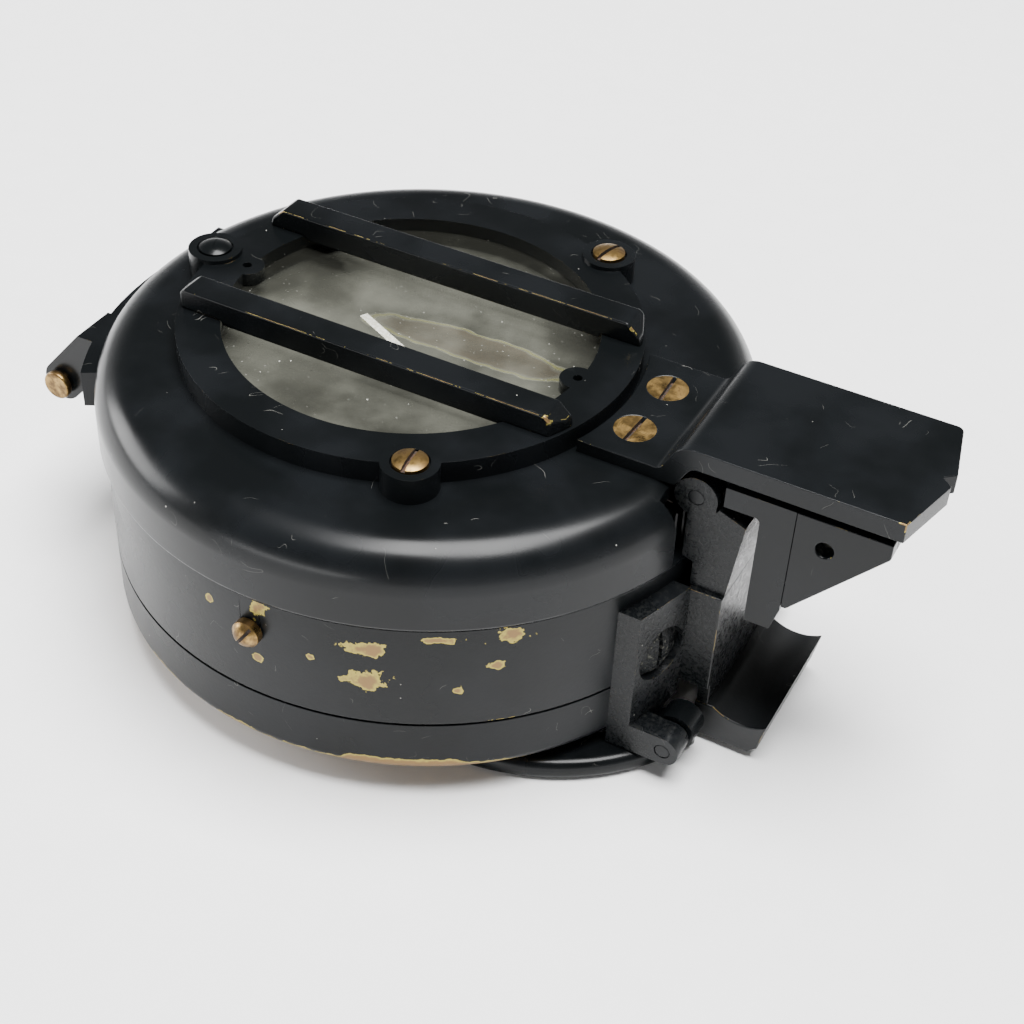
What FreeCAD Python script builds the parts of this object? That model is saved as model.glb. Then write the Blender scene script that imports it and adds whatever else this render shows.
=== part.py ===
"""Sighting compass with a liquid capsule, a hinged lid and a folding prism.

Millimetres. Origin: centre of the base cap's underside, on the case axis.
+Z runs up the case axis, +X points to the prism, -X to the lid's hinge.
The model is the stowed compass: lid shut, prism folded out under the
lid's tongue, thumb ring folded under the base.
"""
import FreeCAD, Part
import math
import os
import Sketcher

doc = FreeCAD.newDocument("sighting_compass")
V = FreeCAD.Vector


# ---------------------------------------------------------------- sizes
class Size:
    """A length that carries its value and the expression it comes from."""

    def __init__(self, text, value):
        self.text = text
        self.value = float(value)

    def _join(self, sign, other, value, swap=False):
        other = as_size(other)
        first, second = (other, self) if swap else (self, other)
        return Size("(%s %s %s)" % (first.text, sign, second.text), value)

    def __add__(self, other):
        return self._join("+", other, self.value + as_size(other).value)

    def __radd__(self, other):
        return self._join("+", other, as_size(other).value + self.value, True)

    def __sub__(self, other):
        return self._join("-", other, self.value - as_size(other).value)

    def __rsub__(self, other):
        return self._join("-", other, as_size(other).value - self.value, True)

    def __mul__(self, factor):
        return self._join("*", factor, self.value * as_size(factor).value)

    def __truediv__(self, factor):
        return self._join("/", factor, self.value / as_size(factor).value)

    def __neg__(self):
        return Size("(-1 * %s)" % self.text, -self.value)


def as_size(number):
    return number if isinstance(number, Size) else Size("%.6g" % number, number)


SIZES = {
    # case
    "case_radius": 31.2,
    "cap_height": 5.9,
    "cap_floor": 1.6,
    "cap_edge_round": 1.1,
    "cap_spigot_radius": 29.0,
    "case_bottom": 6.1,
    "case_top": 17.5,
    "case_bore": 26.6,
    "neck_radius": 27.8,
    "neck_top": 20.9,
    "spanner_hole_radius": 1.0,
    "spanner_hole_circle": 44.0,
    # liquid capsule and dial
    "cup_bottom": 6.8,
    "cup_top": 18.6,
    "cup_wall": 1.2,
    "dial_radius": 24.2,
    "dial_height": 17.2,
    "dial_thick": 0.7,
    "post_radius": 0.9,
    # bezel
    "running_gap": 0.05,
    "bezel_radius": 29.9,
    "bezel_bottom": 17.55,
    "bezel_top": 22.4,
    "bezel_shelf": 21.0,
    "bezel_glass_radius": 27.3,
    # lid
    "lid_radius": 31.75,
    "lid_bottom": 17.8,
    "lid_top": 25.7,
    "lid_wall": 1.35,
    "lid_roof": 1.5,
    "lid_shoulder": 4.0,
    "window_centre": -2.0,
    "window_radius": 18.0,
    "glass_radius": 19.6,
    "glass_thick": 1.8,
    "frame_radius": 22.2,
    "frame_top": 27.9,
    "lug_circle": 22.5,
    "lug_radius": 2.65,
    "lug_top": 28.35,
    "bar_offset": 8.4,
    "bar_width": 3.0,
    "bar_top": 30.0,
    # tongue
    "tongue_half": 7.7,
    "tongue_top": 30.1,
    "tongue_thick": 2.0,
    "tongue_tip": 51.0,
    "tongue_corner": 49.4,
    "foot_thick": 1.3,
    # lid hinge
    "strap_radius": 33.4,
    "strap_top": 21.7,
    "hinge_reach": 35.7,
    "hinge_height": 15.3,
    "hinge_barrel": 2.1,
    "hinge_pin_radius": 1.0,
    # prism side
    "bracket_top": 15.5,
    "bracket_bottom": -0.9,
    "bracket_outer": 14.4,
    "bracket_inner": 8.1,
    "block_front": 34.9,
    "block_back": 31.6,
    "block_bottom": 3.9,
    "block_top": 15.2,
    "prism_pivot_reach": 31.0,
    "prism_pivot_height": 25.1,
    "knuckle_radius": 2.05,
    "prism_half": 7.5,
    "cheek_thick": 1.6,
    # thumb ring
    "ring_centre": 14.3,
    "ring_radius": 22.2,
    "ring_band": 4.6,
    "ring_top": -1.2,
    "ring_thick": 2.3,
    "ring_pivot_reach": 33.4,
    "ring_pivot_height": 0.55,
}

sheet = doc.addObject("Spreadsheet::Sheet", "dims")
for row, (alias, value) in enumerate(SIZES.items(), start=1):
    sheet.set("A%d" % row, alias)
    sheet.set("B%d" % row, "%g" % value)
    sheet.setAlias("B%d" % row, alias)
doc.recompute()


def size(alias):
    """The named cell, as a Size bound to the sheet."""
    return Size("dims." + alias, SIZES[alias])


# ------------------------------------------------------------- builders
TURN = {
    "z": FreeCAD.Rotation(),
    "x": FreeCAD.Rotation(V(0, 1, 0), 90),
    "y": FreeCAD.Rotation(V(1, 0, 0), -90),
}
subparts = {}


def bind(obj, prop, amount):
    """Give a property its value and its expression."""
    amount = as_size(amount)
    setattr(obj, prop, amount.value)
    if "dims" in amount.text:
        obj.setExpression(prop, amount.text)


def place(obj, base, turn=None):
    obj.Placement = FreeCAD.Placement(V(*[as_size(c).value for c in base]), turn or FreeCAD.Rotation())
    for axis, amount in zip("xyz", base):
        if isinstance(amount, Size):
            obj.setExpression(".Placement.Base." + axis, amount.text)
    return obj


def box(name, low, high):
    """A box between two corners."""
    obj = doc.addObject("Part::Box", name)
    for prop, start, end in zip(("Length", "Width", "Height"), low, high):
        bind(obj, prop, as_size(end) - as_size(start))
    return place(obj, low)


def rod(name, radius, length, base, axis="z", turn=None):
    """A cylinder that starts at base and runs along axis, or as turned."""
    obj = doc.addObject("Part::Cylinder", name)
    bind(obj, "Radius", radius)
    bind(obj, "Height", length)
    return place(obj, base, turn or TURN[axis])


def cone(name, start_radius, end_radius, length, base):
    obj = doc.addObject("Part::Cone", name)
    bind(obj, "Radius1", start_radius)
    bind(obj, "Radius2", end_radius)
    bind(obj, "Height", length)
    return place(obj, base)


def cut(name, body, *tools):
    tool = tools[0] if len(tools) == 1 else fuse(name + "_tools", *tools)
    obj = doc.addObject("Part::Cut", name)
    obj.Base = body
    obj.Tool = tool
    return obj


def fuse(name, *pieces):
    obj = doc.addObject("Part::MultiFuse", name)
    obj.Shapes = list(pieces)
    return obj


def common(name, first, second):
    obj = doc.addObject("Part::Common", name)
    obj.Base = first
    obj.Tool = second
    return obj


def group(name, *solids):
    """Several separate solids in one node."""
    obj = doc.addObject("Part::Compound", name)
    obj.Links = list(solids)
    return obj


def new_body(name):
    return doc.addObject("PartDesign::Body", name)


def origin_feature(body, role):
    return next(f for f in body.Origin.OriginFeatures if f.Role == role)


def outline(body, name, plane, points):
    """A closed outline of straight edges, each corner held by its two distances."""
    sketch = body.newObject("Sketcher::SketchObject", name)
    sketch.AttachmentSupport = [(origin_feature(body, plane), "")]
    sketch.MapMode = "FlatFace"
    corners = [(as_size(x), as_size(y)) for x, y in points]
    flat = [V(x.value, y.value, 0) for x, y in corners]
    for i, start in enumerate(flat):
        sketch.addGeometry(Part.LineSegment(start, flat[(i + 1) % len(flat)]), False)
    for i in range(len(flat)):
        sketch.addConstraint(Sketcher.Constraint("Coincident", i, 2, (i + 1) % len(flat), 1))
    for i, corner in enumerate(corners):
        for kind, axis, amount in (("DistanceX", -2, corner[0]), ("DistanceY", -1, corner[1])):
            if abs(amount.value) < 1e-9:
                sketch.addConstraint(Sketcher.Constraint("PointOnObject", i, 1, axis))
                continue
            if amount.value > 0:
                index = sketch.addConstraint(Sketcher.Constraint(kind, -1, 1, i, 1, amount.value))
            else:
                index = sketch.addConstraint(Sketcher.Constraint(kind, i, 1, -1, 1, -amount.value))
            if "dims" in amount.text:
                text = amount.text if amount.value > 0 else (-amount).text
                sketch.setExpression("Constraints[%d]" % index, text)
    return sketch


def turned(name, points):
    """A turned piece: its half section, in radius and height, swept round Z."""
    body = new_body(name)
    sketch = outline(body, name + "_section", "XZ_Plane", points)
    spin = body.newObject("PartDesign::Revolution", name + "_turned")
    spin.Profile = sketch
    spin.ReferenceAxis = (origin_feature(body, "Z_Axis"), [""])
    spin.Angle = 360
    doc.recompute()
    return body


def slab(name, plane, points, thick, base=(0, 0, 0)):
    """A flat piece: an outline thickened evenly to both sides of its plane."""
    body = new_body(name)
    sketch = outline(body, name + "_outline", plane, points)
    pad = body.newObject("PartDesign::Pad", name + "_pad")
    pad.Profile = sketch
    pad.Midplane = True
    bind(pad, "Length", thick)
    place(body, base)
    doc.recompute()
    return body


def edges_where(shape, test):
    return ["Edge%d" % (i + 1) for i, edge in enumerate(shape.Edges) if test(edge)]


def round_edges(body, name, radius, test):
    """Fillet the edges of a body's last feature that pass the test."""
    doc.recompute()
    last = body.Tip
    fillet = body.newObject("PartDesign::Fillet", name)
    fillet.Base = (last, edges_where(last.Shape, test))
    bind(fillet, "Radius", radius)
    doc.recompute()
    return body


def ring_edge(radius, height):
    """Test for the circular edge of this radius at this height."""
    def test(edge):
        curve = edge.Curve
        if not isinstance(curve, Part.Circle):
            return False
        near_radius = abs(curve.Radius - as_size(radius).value) < 0.01
        return near_radius and abs(curve.Center.z - as_size(height).value) < 0.01
    return test


def cross_edge(x, z):
    """Test for the straight edge along Y through this point."""
    def test(edge):
        middle = edge.BoundBox.Center
        straight = edge.BoundBox.XLength < 0.01 and edge.BoundBox.ZLength < 0.01
        at_x = abs(middle.x - as_size(x).value) < 0.02
        return straight and at_x and abs(middle.z - as_size(z).value) < 0.02
    return test


def keep(label, obj):
    obj.Label = label
    subparts[label] = obj
    return obj


def slotted_screw(name, head_radius, head_height, shank_radius, shank_length, slot_width=0.7):
    """A cheese head screw at the origin, head up, its seat at height 0."""
    head = rod(name + "_head", head_radius, head_height, (0, 0, 0))
    shank = rod(name + "_shank", shank_radius, shank_length, (0, 0, -as_size(shank_length)))
    slot_floor = as_size(head_height) * 0.45
    half = slot_width / 2
    slot = box(name + "_slot", (-as_size(head_radius) * 1.5, -half, slot_floor),
               (as_size(head_radius) * 1.5, half, as_size(head_height) * 2))
    return cut(name + "_screw", fuse(name + "_blank", head, shank), slot)


def stand(obj, base, turn=None):
    """Move a finished piece as a whole."""
    return place(obj, base, turn)


window = size("window_centre")
THROUGH = 60.0            # tool length that goes right through any piece
PIN_RADIUS = 0.8          # pins of the prism hinge and the thumb ring
LUG_SHANK = 0.8           # screws of the window frame
TONGUE_SHANK = 1.1        # screws of the tongue
GLASS_SINK = 1.0          # how far the lid glass is let into the lid


# ------------------------------------------------------------ base and case
def make_base_cap():
    """Screwed base cap: a shallow cup with a spigot and two spanner holes."""
    edge = size("case_radius")
    spigot = size("cap_spigot_radius")
    spigot_wall = 2.0
    spigot_rise = 2.9
    top = size("cap_height")
    body = turned("base_cap_blank", [
        (0, 0), (edge, 0), (edge, top), (spigot, top), (spigot, top + spigot_rise),
        (spigot - spigot_wall, top + spigot_rise), (spigot - spigot_wall, size("cap_floor")),
        (0, size("cap_floor"))])
    round_edges(body, "base_cap_foot_round", size("cap_edge_round"), ring_edge(edge, 0))
    hole_depth = 1.0
    half_circle = size("spanner_hole_circle") / 2
    holes = [rod("spanner_hole_%d" % i, size("spanner_hole_radius"), hole_depth, (0, half_circle * side, 0))
             for i, side in enumerate((-1, 1))]
    keep("base_cap", cut("base_cap_drilled", body, *holes))


BRACKET_SCREW_SEAT = (30.95, 11.1, 9.3)   # on the far bracket's slanted face
BRACKET_SLANT = 18.5      # degrees that the bracket's face turns away from +X
BRACKET_SCREW_SHANK = 1.1
CLAMP_HEIGHT = 13.8
CLAMP_SHANK = 0.9
HINGE_SCREW_SHANK = 0.8
HINGE_SCREW_Y = 4.3
HINGE_SCREW_Z = 9.7


def bracket_screw_seat(side):
    """Centre of a guide bracket's screw, on the bracket's slanted face."""
    x, y, z = BRACKET_SCREW_SEAT
    return V(x, side * y, z)


def slant_turn(side, inward=True):
    """Rotation that points a cylinder's Z along a bracket's face normal."""
    angle = math.radians(BRACKET_SLANT) * side
    direction = V(math.cos(angle), math.sin(angle), 0)
    return FreeCAD.Rotation(V(0, 0, 1), direction * (-1 if inward else 1))


def make_case_body():
    """The case: a heavy turned ring with a neck that the bezel turns on."""
    wall = size("case_radius")
    spigot = size("cap_spigot_radius")
    bore = size("case_bore")
    neck = size("neck_radius")
    spigot_room = 2.9
    low = size("case_bottom")
    body = turned("case_blank", [
        (spigot, low), (wall, low), (wall, size("case_top")), (neck, size("case_top")),
        (neck, size("neck_top")), (bore, size("neck_top")), (bore, low + spigot_room),
        (spigot, low + spigot_room)])
    tools = []
    bracket_tap_depth = 6.0
    hinge_tap_start = -wall - 2.2
    hinge_tap_depth = 5.0
    for side in (-1, 1):
        seat = bracket_screw_seat(side)
        tools.append(rod("bracket_tap_%d" % (side + 1), BRACKET_SCREW_SHANK, bracket_tap_depth,
                         tuple(seat), turn=slant_turn(side)))
        tools.append(rod("hinge_tap_%d" % (side + 1), HINGE_SCREW_SHANK, hinge_tap_depth,
                         (hinge_tap_start, side * HINGE_SCREW_Y, HINGE_SCREW_Z), "x"))
    clamp_start = -wall - 2
    clamp_depth = 5.5
    tools.append(rod("clamp_bore", CLAMP_SHANK + SIZES["running_gap"], clamp_depth,
                     (0, clamp_start, CLAMP_HEIGHT), "y"))
    keep("case_body", cut("case_drilled", body, *tools))


def make_capsule():
    """Liquid capsule: cup, expansion bellows, gasket, glass and its ring."""
    bore = size("case_bore")
    wall = size("cup_wall")
    low = size("cup_bottom")
    top = size("cup_top")
    vent = 1.5
    keep("capsule_cup", turned("cup", [
        (vent, low), (bore, low), (bore, top), (bore - wall, top), (bore - wall, low + 1.0),
        (vent, low + 1.0)]))
    keep("expansion_bellows", turned("bellows", [
        (0, low - 2.6), (12.0, low - 2.6), (12.0, low - 2.0), (10.6, low - 1.3), (12.0, low - 0.6),
        (12.0, low), (11.2, low), (9.6, low - 1.3), (11.2, low - 2.2), (0, low - 2.2)]))
    gasket_top = top + 0.4
    glass_top = gasket_top + 1.3
    keep("capsule_gasket", turned("gasket", [
        (bore - 2.2, top), (bore - 0.1, top), (bore - 0.1, gasket_top), (bore - 2.2, gasket_top)]))
    keep("capsule_glass", rod("capsule_disc", bore - 0.1, 1.3, (0, 0, gasket_top)))
    keep("capsule_retaining_ring", turned("capsule_ring", [
        (bore - 1.9, glass_top), (bore, glass_top), (bore, size("neck_top")),
        (bore - 1.9, size("neck_top"))]))
    index_inner = bore - wall - 0.9
    index = box("index_strip", (index_inner, -0.5, low + 1.0), (bore, 0.5, top - 0.1))
    keep("lubber_mark", common("index_fitted", index,
                               rod("index_limit", bore - wall, 30, (0, 0, 0))))


def make_compass_card():
    """Floating card: pearl dial, hub with its jewel cup under it, and two bar magnets."""
    low = size("cup_bottom") + 1.0
    post = size("post_radius")
    card = size("dial_height")
    hub_wall = 3.2
    jewel = 1.6
    jewel_low = card - 0.7
    tip = jewel_low - 0.05
    keep("pivot_post", turned("post", [
        (0, low), (2.6, low), (2.6, low + 1.0), (post, low + 1.6), (post, tip - 1.0), (0, tip)]))
    keep("pearl_dial", rod("dial_disc", size("dial_radius"), size("dial_thick"), (0, 0, card)))
    bore = post + 0.6
    keep("dial_hub", turned("hub", [
        (bore, card - 2.4), (hub_wall - 0.6, card - 2.4), (hub_wall, card - 1.8), (hub_wall, card),
        (jewel, card), (jewel, jewel_low - 0.2), (bore, jewel_low - 0.2)]))
    keep("jewel_cup", turned("jewel", [
        (0, jewel_low), (0, card), (jewel, card), (jewel, jewel_low - 0.2), (0.35, jewel_low - 0.2)]))
    magnets = [box("magnet_%d" % i, (-14.0, side * 5.2 - 1.2, card - 1.8), (14.0, side * 5.2 + 1.2, card))
               for i, side in enumerate((-1, 1))]
    keep("card_magnets", group("magnet_pair", *magnets))


def make_bezel():
    """Turning bezel: ring, glass, its snap ring and the direction mark."""
    inner = size("neck_radius") + size("running_gap")
    outer = size("bezel_radius")
    seat = size("bezel_glass_radius")
    shelf = size("bezel_shelf")
    top = size("bezel_top")
    glass_low = shelf + 0.4
    body = turned("bezel_blank", [
        (inner, size("bezel_bottom")), (outer, size("bezel_bottom")), (outer, top), (seat, top),
        (seat, glass_low), (seat - 1.3, glass_low), (seat - 1.3, shelf), (inner, shelf)])
    keep("bezel_ring", round_edges(body, "bezel_round", 0.4, ring_edge(outer, top)))
    keep("bezel_glass", rod("bezel_disc", seat, 0.7, (0, 0, glass_low)))
    keep("bezel_snap_ring", turned("snap_ring", [
        (seat - 0.8, glass_low + 0.7), (seat, glass_low + 0.7), (seat, top - 0.02),
        (seat - 0.8, top - 0.02)]))


def make_clamp_screw():
    """Slotted screw in the case wall that clamps the bezel."""
    screw = slotted_screw("clamp", 1.35, 1.5, CLAMP_SHANK, 3.2)
    stand(screw, (0, -size("case_radius") - 0.35, CLAMP_HEIGHT), FreeCAD.Rotation(V(1, 0, 0), 90))
    keep("bezel_clamp_screw", screw)


# -------------------------------------------------------------------- lid
NOTCH_HALF = 9.4          # half width of the lid's gap round the prism hinge
NOTCH_FACE = 28.4
TONGUE_SCREWS = ((23.1, -3.55), (23.1, 3.55))
THREAD_PLACES = (("rear", -18.4, -0.5), ("front", 17.8, -0.5))   # from the window's centre
TAB_RADIUS = 1.7
THREAD_HOLE = 0.45


def lug_places():
    """Plan positions of the three lugs on the window frame."""
    reach = size("lug_circle")
    return [(window + reach * math.cos(math.radians(a)), reach * math.sin(math.radians(a)))
            for a in (180, -60, 60)]


def make_lid_shell():
    """Lid: a turned cover with a round shoulder, a window and a prism gap."""
    outer = size("lid_radius")
    inner = outer - size("lid_wall")
    top = size("lid_top")
    roof = top - size("lid_roof")
    low = size("lid_bottom")
    body = turned("lid_blank", [
        (0, roof), (inner, roof), (inner, low), (outer, low), (outer, top), (0, top)])
    round_edges(body, "lid_shoulder_round", size("lid_shoulder"), ring_edge(outer, top))
    round_edges(body, "lid_inner_round", 2.6, ring_edge(inner, roof))
    glass_low = top - GLASS_SINK
    tools = [
        rod("window_through", size("window_radius") + 0.4, 6, (window, 0, roof - 3)),
        rod("glass_seat", size("glass_radius") + 0.1, 4, (window, 0, glass_low)),
        box("prism_gap", (NOTCH_FACE, -NOTCH_HALF, low - 5), (outer + 5, NOTCH_HALF, top + 5)),
    ]
    for i, (x, y) in enumerate(lug_places()):
        tools.append(rod("lug_tap_%d" % i, LUG_SHANK, 4, (x, y, roof - 1)))
    for i, (x, y) in enumerate(TONGUE_SCREWS):
        tools.append(rod("tongue_tap_%d" % i, TONGUE_SHANK, 4, (x, y, roof - 1)))
    keep("lid_shell", cut("lid_machined", body, *tools))
    keep("lid_glass", rod("lid_disc", size("glass_radius"), size("glass_thick"), (window, 0, glass_low)))


def make_window_frame():
    """Window frame: a flat ring with three screw lugs and two sight-thread tabs."""
    low = size("lid_top")
    top = size("frame_top")
    glass_top = low - GLASS_SINK + size("glass_thick")
    blank = [rod("frame_disc", size("frame_radius"), top - low, (window, 0, low))]
    for i, (x, y) in enumerate(lug_places()):
        blank.append(rod("lug_%d" % i, size("lug_radius"), size("lug_top") - low, (x, y, low)))
    tools = [
        rod("frame_opening", size("window_radius"), 10, (window, 0, low - 2)),
        rod("frame_rebate", size("glass_radius") + 0.1, 1.05, (window, 0, glass_top - 1.0)),
    ]
    head_seat = size("lug_top") - 0.45
    head_radius = 1.65
    for i, (x, y) in enumerate(lug_places()):
        tools.append(rod("lug_seat_%d" % i, head_radius + 0.15, 3, (x, y, head_seat)))
        tools.append(rod("lug_hole_%d" % i, LUG_SHANK, 6, (x, y, low - 1)))
    ring = cut("frame_ring", fuse("frame_blank", *blank), *tools)
    tabs = []
    holes = []
    tab_low = glass_top + 0.1
    for name, x, y in THREAD_PLACES:
        tabs.append(rod("tab_" + name, TAB_RADIUS, top - tab_low, (window + x, y, tab_low)))
        holes.append(rod("thread_hole_" + name, THREAD_HOLE, 6, (window + x, y, glass_top - 1)))
    keep("window_frame", cut("frame_done", fuse("frame_tabbed", ring, *tabs), *holes))
    screws = []
    for i, (x, y) in enumerate(lug_places()):
        screw = slotted_screw("lug%d" % i, head_radius, 0.9, LUG_SHANK, 3.0, 0.55)
        screws.append(stand(screw, (x, y, head_seat)))
    keep("window_frame_screws", group("frame_screw_set", *screws))


def make_guard_bars():
    """Two bars that bridge the window and keep the glass off the ground."""
    half = size("bar_width") / 2
    frame = size("frame_top")
    high = size("bar_top")
    rear = window - 20.6
    front = window + 20.6
    lean = 0.2            # how far each end leans in below its slope
    slope = 1.5           # length of the slope at each end
    slope_low = high - 1.2
    sunk = 0.5            # how far a bar reaches down inside the frame's opening
    fit_low = frame - 3
    fit_height = 9
    for side, label in ((-1, "guard_bar_near"), (1, "guard_bar_far")):
        centre = size("bar_offset") * side
        upper = slab(label + "_upper", "XZ_Plane", [
            (rear, frame), (rear + lean, slope_low), (rear + slope, high), (front - slope, high),
            (front - lean, slope_low), (front, frame)], half * 2, (0, centre, 0))
        lower = box(label + "_lower", (-30, centre - half, frame - sunk), (30, centre + half, frame))
        on_frame = common(label + "_on_frame", upper, rod(
            label + "_reach", size("frame_radius") - 0.3, fit_height, (window, 0, fit_low)))
        inside = common(label + "_inside", lower, rod(
            label + "_opening", size("window_radius") - 0.1, fit_height, (window, 0, fit_low)))
        keep(label, fuse(label + "_bar", on_frame, inside))


def make_tongue():
    """Tongue: a foot screwed to the lid, a step, and a flat plate over the prism."""
    top = size("tongue_top")
    under = top - size("tongue_thick")
    lid = size("lid_top")
    foot = lid + size("foot_thick")
    step = 27.4
    crest = step + 1.7    # where the step reaches the plate's top
    inner_crest = step + 2.9
    rear = 18.0
    side_view = slab("tongue_side", "XZ_Plane", [
        (rear, lid), (rear, foot), (step, foot), (crest, top), (size("tongue_tip") + 1, top),
        (size("tongue_tip") + 1, under), (inner_crest, under), (step + 1.5, lid)],
        size("tongue_half") * 2)
    round_edges(side_view, "tongue_crest_round", 1.9, cross_edge(crest, top))
    round_edges(side_view, "tongue_root_round", 1.0, cross_edge(step, foot))
    round_edges(side_view, "tongue_inner_round", 1.2, cross_edge(inner_crest, under))
    half = size("tongue_half")
    corner = size("tongue_corner")
    tip = size("tongue_tip")
    notch_half = 0.9
    notch_depth = 1.0
    plan = slab("tongue_plan", "XY_Plane", [
        (rear - 1, -half), (corner, -half), (tip, -notch_half), (tip - notch_depth, 0),
        (tip, notch_half), (corner, half), (rear - 1, half)], THROUGH + 20)
    shape = common("tongue_form", side_view, plan)
    tools = [rod("frame_clearance", size("frame_radius") + 0.5, THROUGH, (window, 0, 0))]
    screws = []
    sink = 1.1
    head_radius = 1.98
    shank_length = 2.3
    slot_half = 0.35
    slot_depth = 0.45
    for i, (x, y) in enumerate(TONGUE_SCREWS):
        seat = foot - sink
        tools.append(cone("sink_%d" % i, TONGUE_SHANK, head_radius, sink, (x, y, seat)))
        tools.append(rod("tongue_hole_%d" % i, TONGUE_SHANK, 6, (x, y, lid - 2)))
        head = cone("sunk_head_%d" % i, TONGUE_SHANK, head_radius, sink, (x, y, seat))
        shank = rod("sunk_shank_%d" % i, TONGUE_SHANK, shank_length, (x, y, seat - shank_length))
        slot = box("sunk_slot_%d" % i, (x - slot_half, y - 3, foot - slot_depth),
                   (x + slot_half, y + 3, foot + 1))
        screws.append(cut("sunk_screw_%d" % i, fuse("sunk_blank_%d" % i, head, shank), slot))
    keep("tongue", cut("tongue_cut", shape, *tools))
    keep("tongue_screws", group("tongue_screw_pair", *screws))


# -------------------------------------------------------------- lid hinge
KNUCKLE_SPLIT = 6.9       # half width of the case's middle knuckle
KNUCKLE_END = 12.0
KNUCKLE_GAP = 0.2


def make_lid_hinge():
    """Curved strap on the lid with two knuckles, the case's plate, and the pin."""
    reach = -size("hinge_reach")
    height = size("hinge_height")
    barrel = size("hinge_barrel")
    pin = size("hinge_pin_radius")
    strap_low = size("lid_bottom")
    strap_top = size("strap_top")
    outer = size("strap_radius")
    band = turned("strap_band", [
        (size("lid_radius"), strap_low), (outer, strap_low), (outer, strap_top),
        (size("lid_radius"), strap_top)])
    sector_reach = 40.0
    sector_angle = math.radians(30)
    sector = slab("strap_sector", "XY_Plane", [
        (0, 0), (-sector_reach, -sector_reach * math.tan(sector_angle)),
        (-sector_reach, sector_reach * math.tan(sector_angle))], 80)
    strap = common("strap_arc", band, sector)
    pieces = [strap]
    width = KNUCKLE_END - KNUCKLE_SPLIT - KNUCKLE_GAP
    for side in (-1, 1):
        middle = side * (KNUCKLE_END - width / 2)
        web = slab("strap_web_%d" % (side + 1), "XZ_Plane", [
            (-31.2, strap_low), (-31.2, strap_top), (-33.0, strap_top),
            (reach - barrel * 0.8, height + barrel * 0.6), (reach, height - barrel),
            (reach + barrel * 0.7, height - barrel * 0.7), (-31.7, strap_low - 1.1)],
            width, (0, middle, 0))
        tube = rod("strap_tube_%d" % (side + 1), barrel, width, (reach, middle - width / 2, height), "y")
        pieces.extend([web, tube])
    blank = cut("strap_blank", fuse("strap_joined", *pieces),
                rod("strap_lid_bore", size("lid_radius"), THROUGH, (0, 0, strap_low)),
                rod("strap_case_bore", size("case_radius") + 0.4, strap_low + 1, (0, 0, -1)),
                rod("strap_pin_hole", pin, THROUGH, (reach, -THROUGH / 2, height), "y"))
    keep("lid_hinge_strap", blank)

    plate_width = KNUCKLE_SPLIT * 2
    wall = size("case_radius")
    plate_front = -wall - 1.4
    plate = slab("hinge_plate_profile", "XZ_Plane", [
        (-30.0, 7.6), (plate_front, 7.6), (plate_front, height - barrel - 1.4),
        (reach + 0.4, height - barrel), (reach + 1.2, height + barrel * 0.8),
        (plate_front, height + barrel * 0.8), (-30.0, height + barrel * 0.8)], plate_width)
    tube = rod("plate_tube", barrel, plate_width, (reach, -KNUCKLE_SPLIT, height), "y")
    tools = [rod("plate_case_bore", wall, THROUGH, (0, 0, -10)),
             rod("plate_pin_hole", pin + size("running_gap"), THROUGH,
                 (reach, -THROUGH / 2, height), "y")]
    screws = []
    for side in (-1, 1):
        y = side * HINGE_SCREW_Y
        tools.append(rod("plate_hole_%d" % (side + 1), HINGE_SCREW_SHANK, 5,
                         (-wall - 2.2, y, HINGE_SCREW_Z), "x"))
        screw = slotted_screw("hinge%d" % (side + 1), 1.5, 0.8, HINGE_SCREW_SHANK, 3.6, 0.5)
        screws.append(stand(screw, (plate_front, y, HINGE_SCREW_Z), FreeCAD.Rotation(V(0, 1, 0), -90)))
    keep("case_hinge_plate", cut("hinge_plate_done", fuse("hinge_plate_blank", plate, tube), *tools))
    keep("hinge_plate_screws", group("hinge_screw_pair", *screws))
    pin_length = KNUCKLE_END * 2 + 0.6
    shaft = rod("hinge_shaft", pin, pin_length, (reach, -pin_length / 2, height), "y")
    head_radius = 1.5
    head_thick = 0.8
    heads = [rod("hinge_pin_head_%d" % i, head_radius, head_thick, (reach, y, height), "y")
             for i, y in enumerate((-pin_length / 2 - head_thick, pin_length / 2))]
    keep("lid_hinge_pin", fuse("hinge_pin_joined", shaft, *heads))


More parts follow.
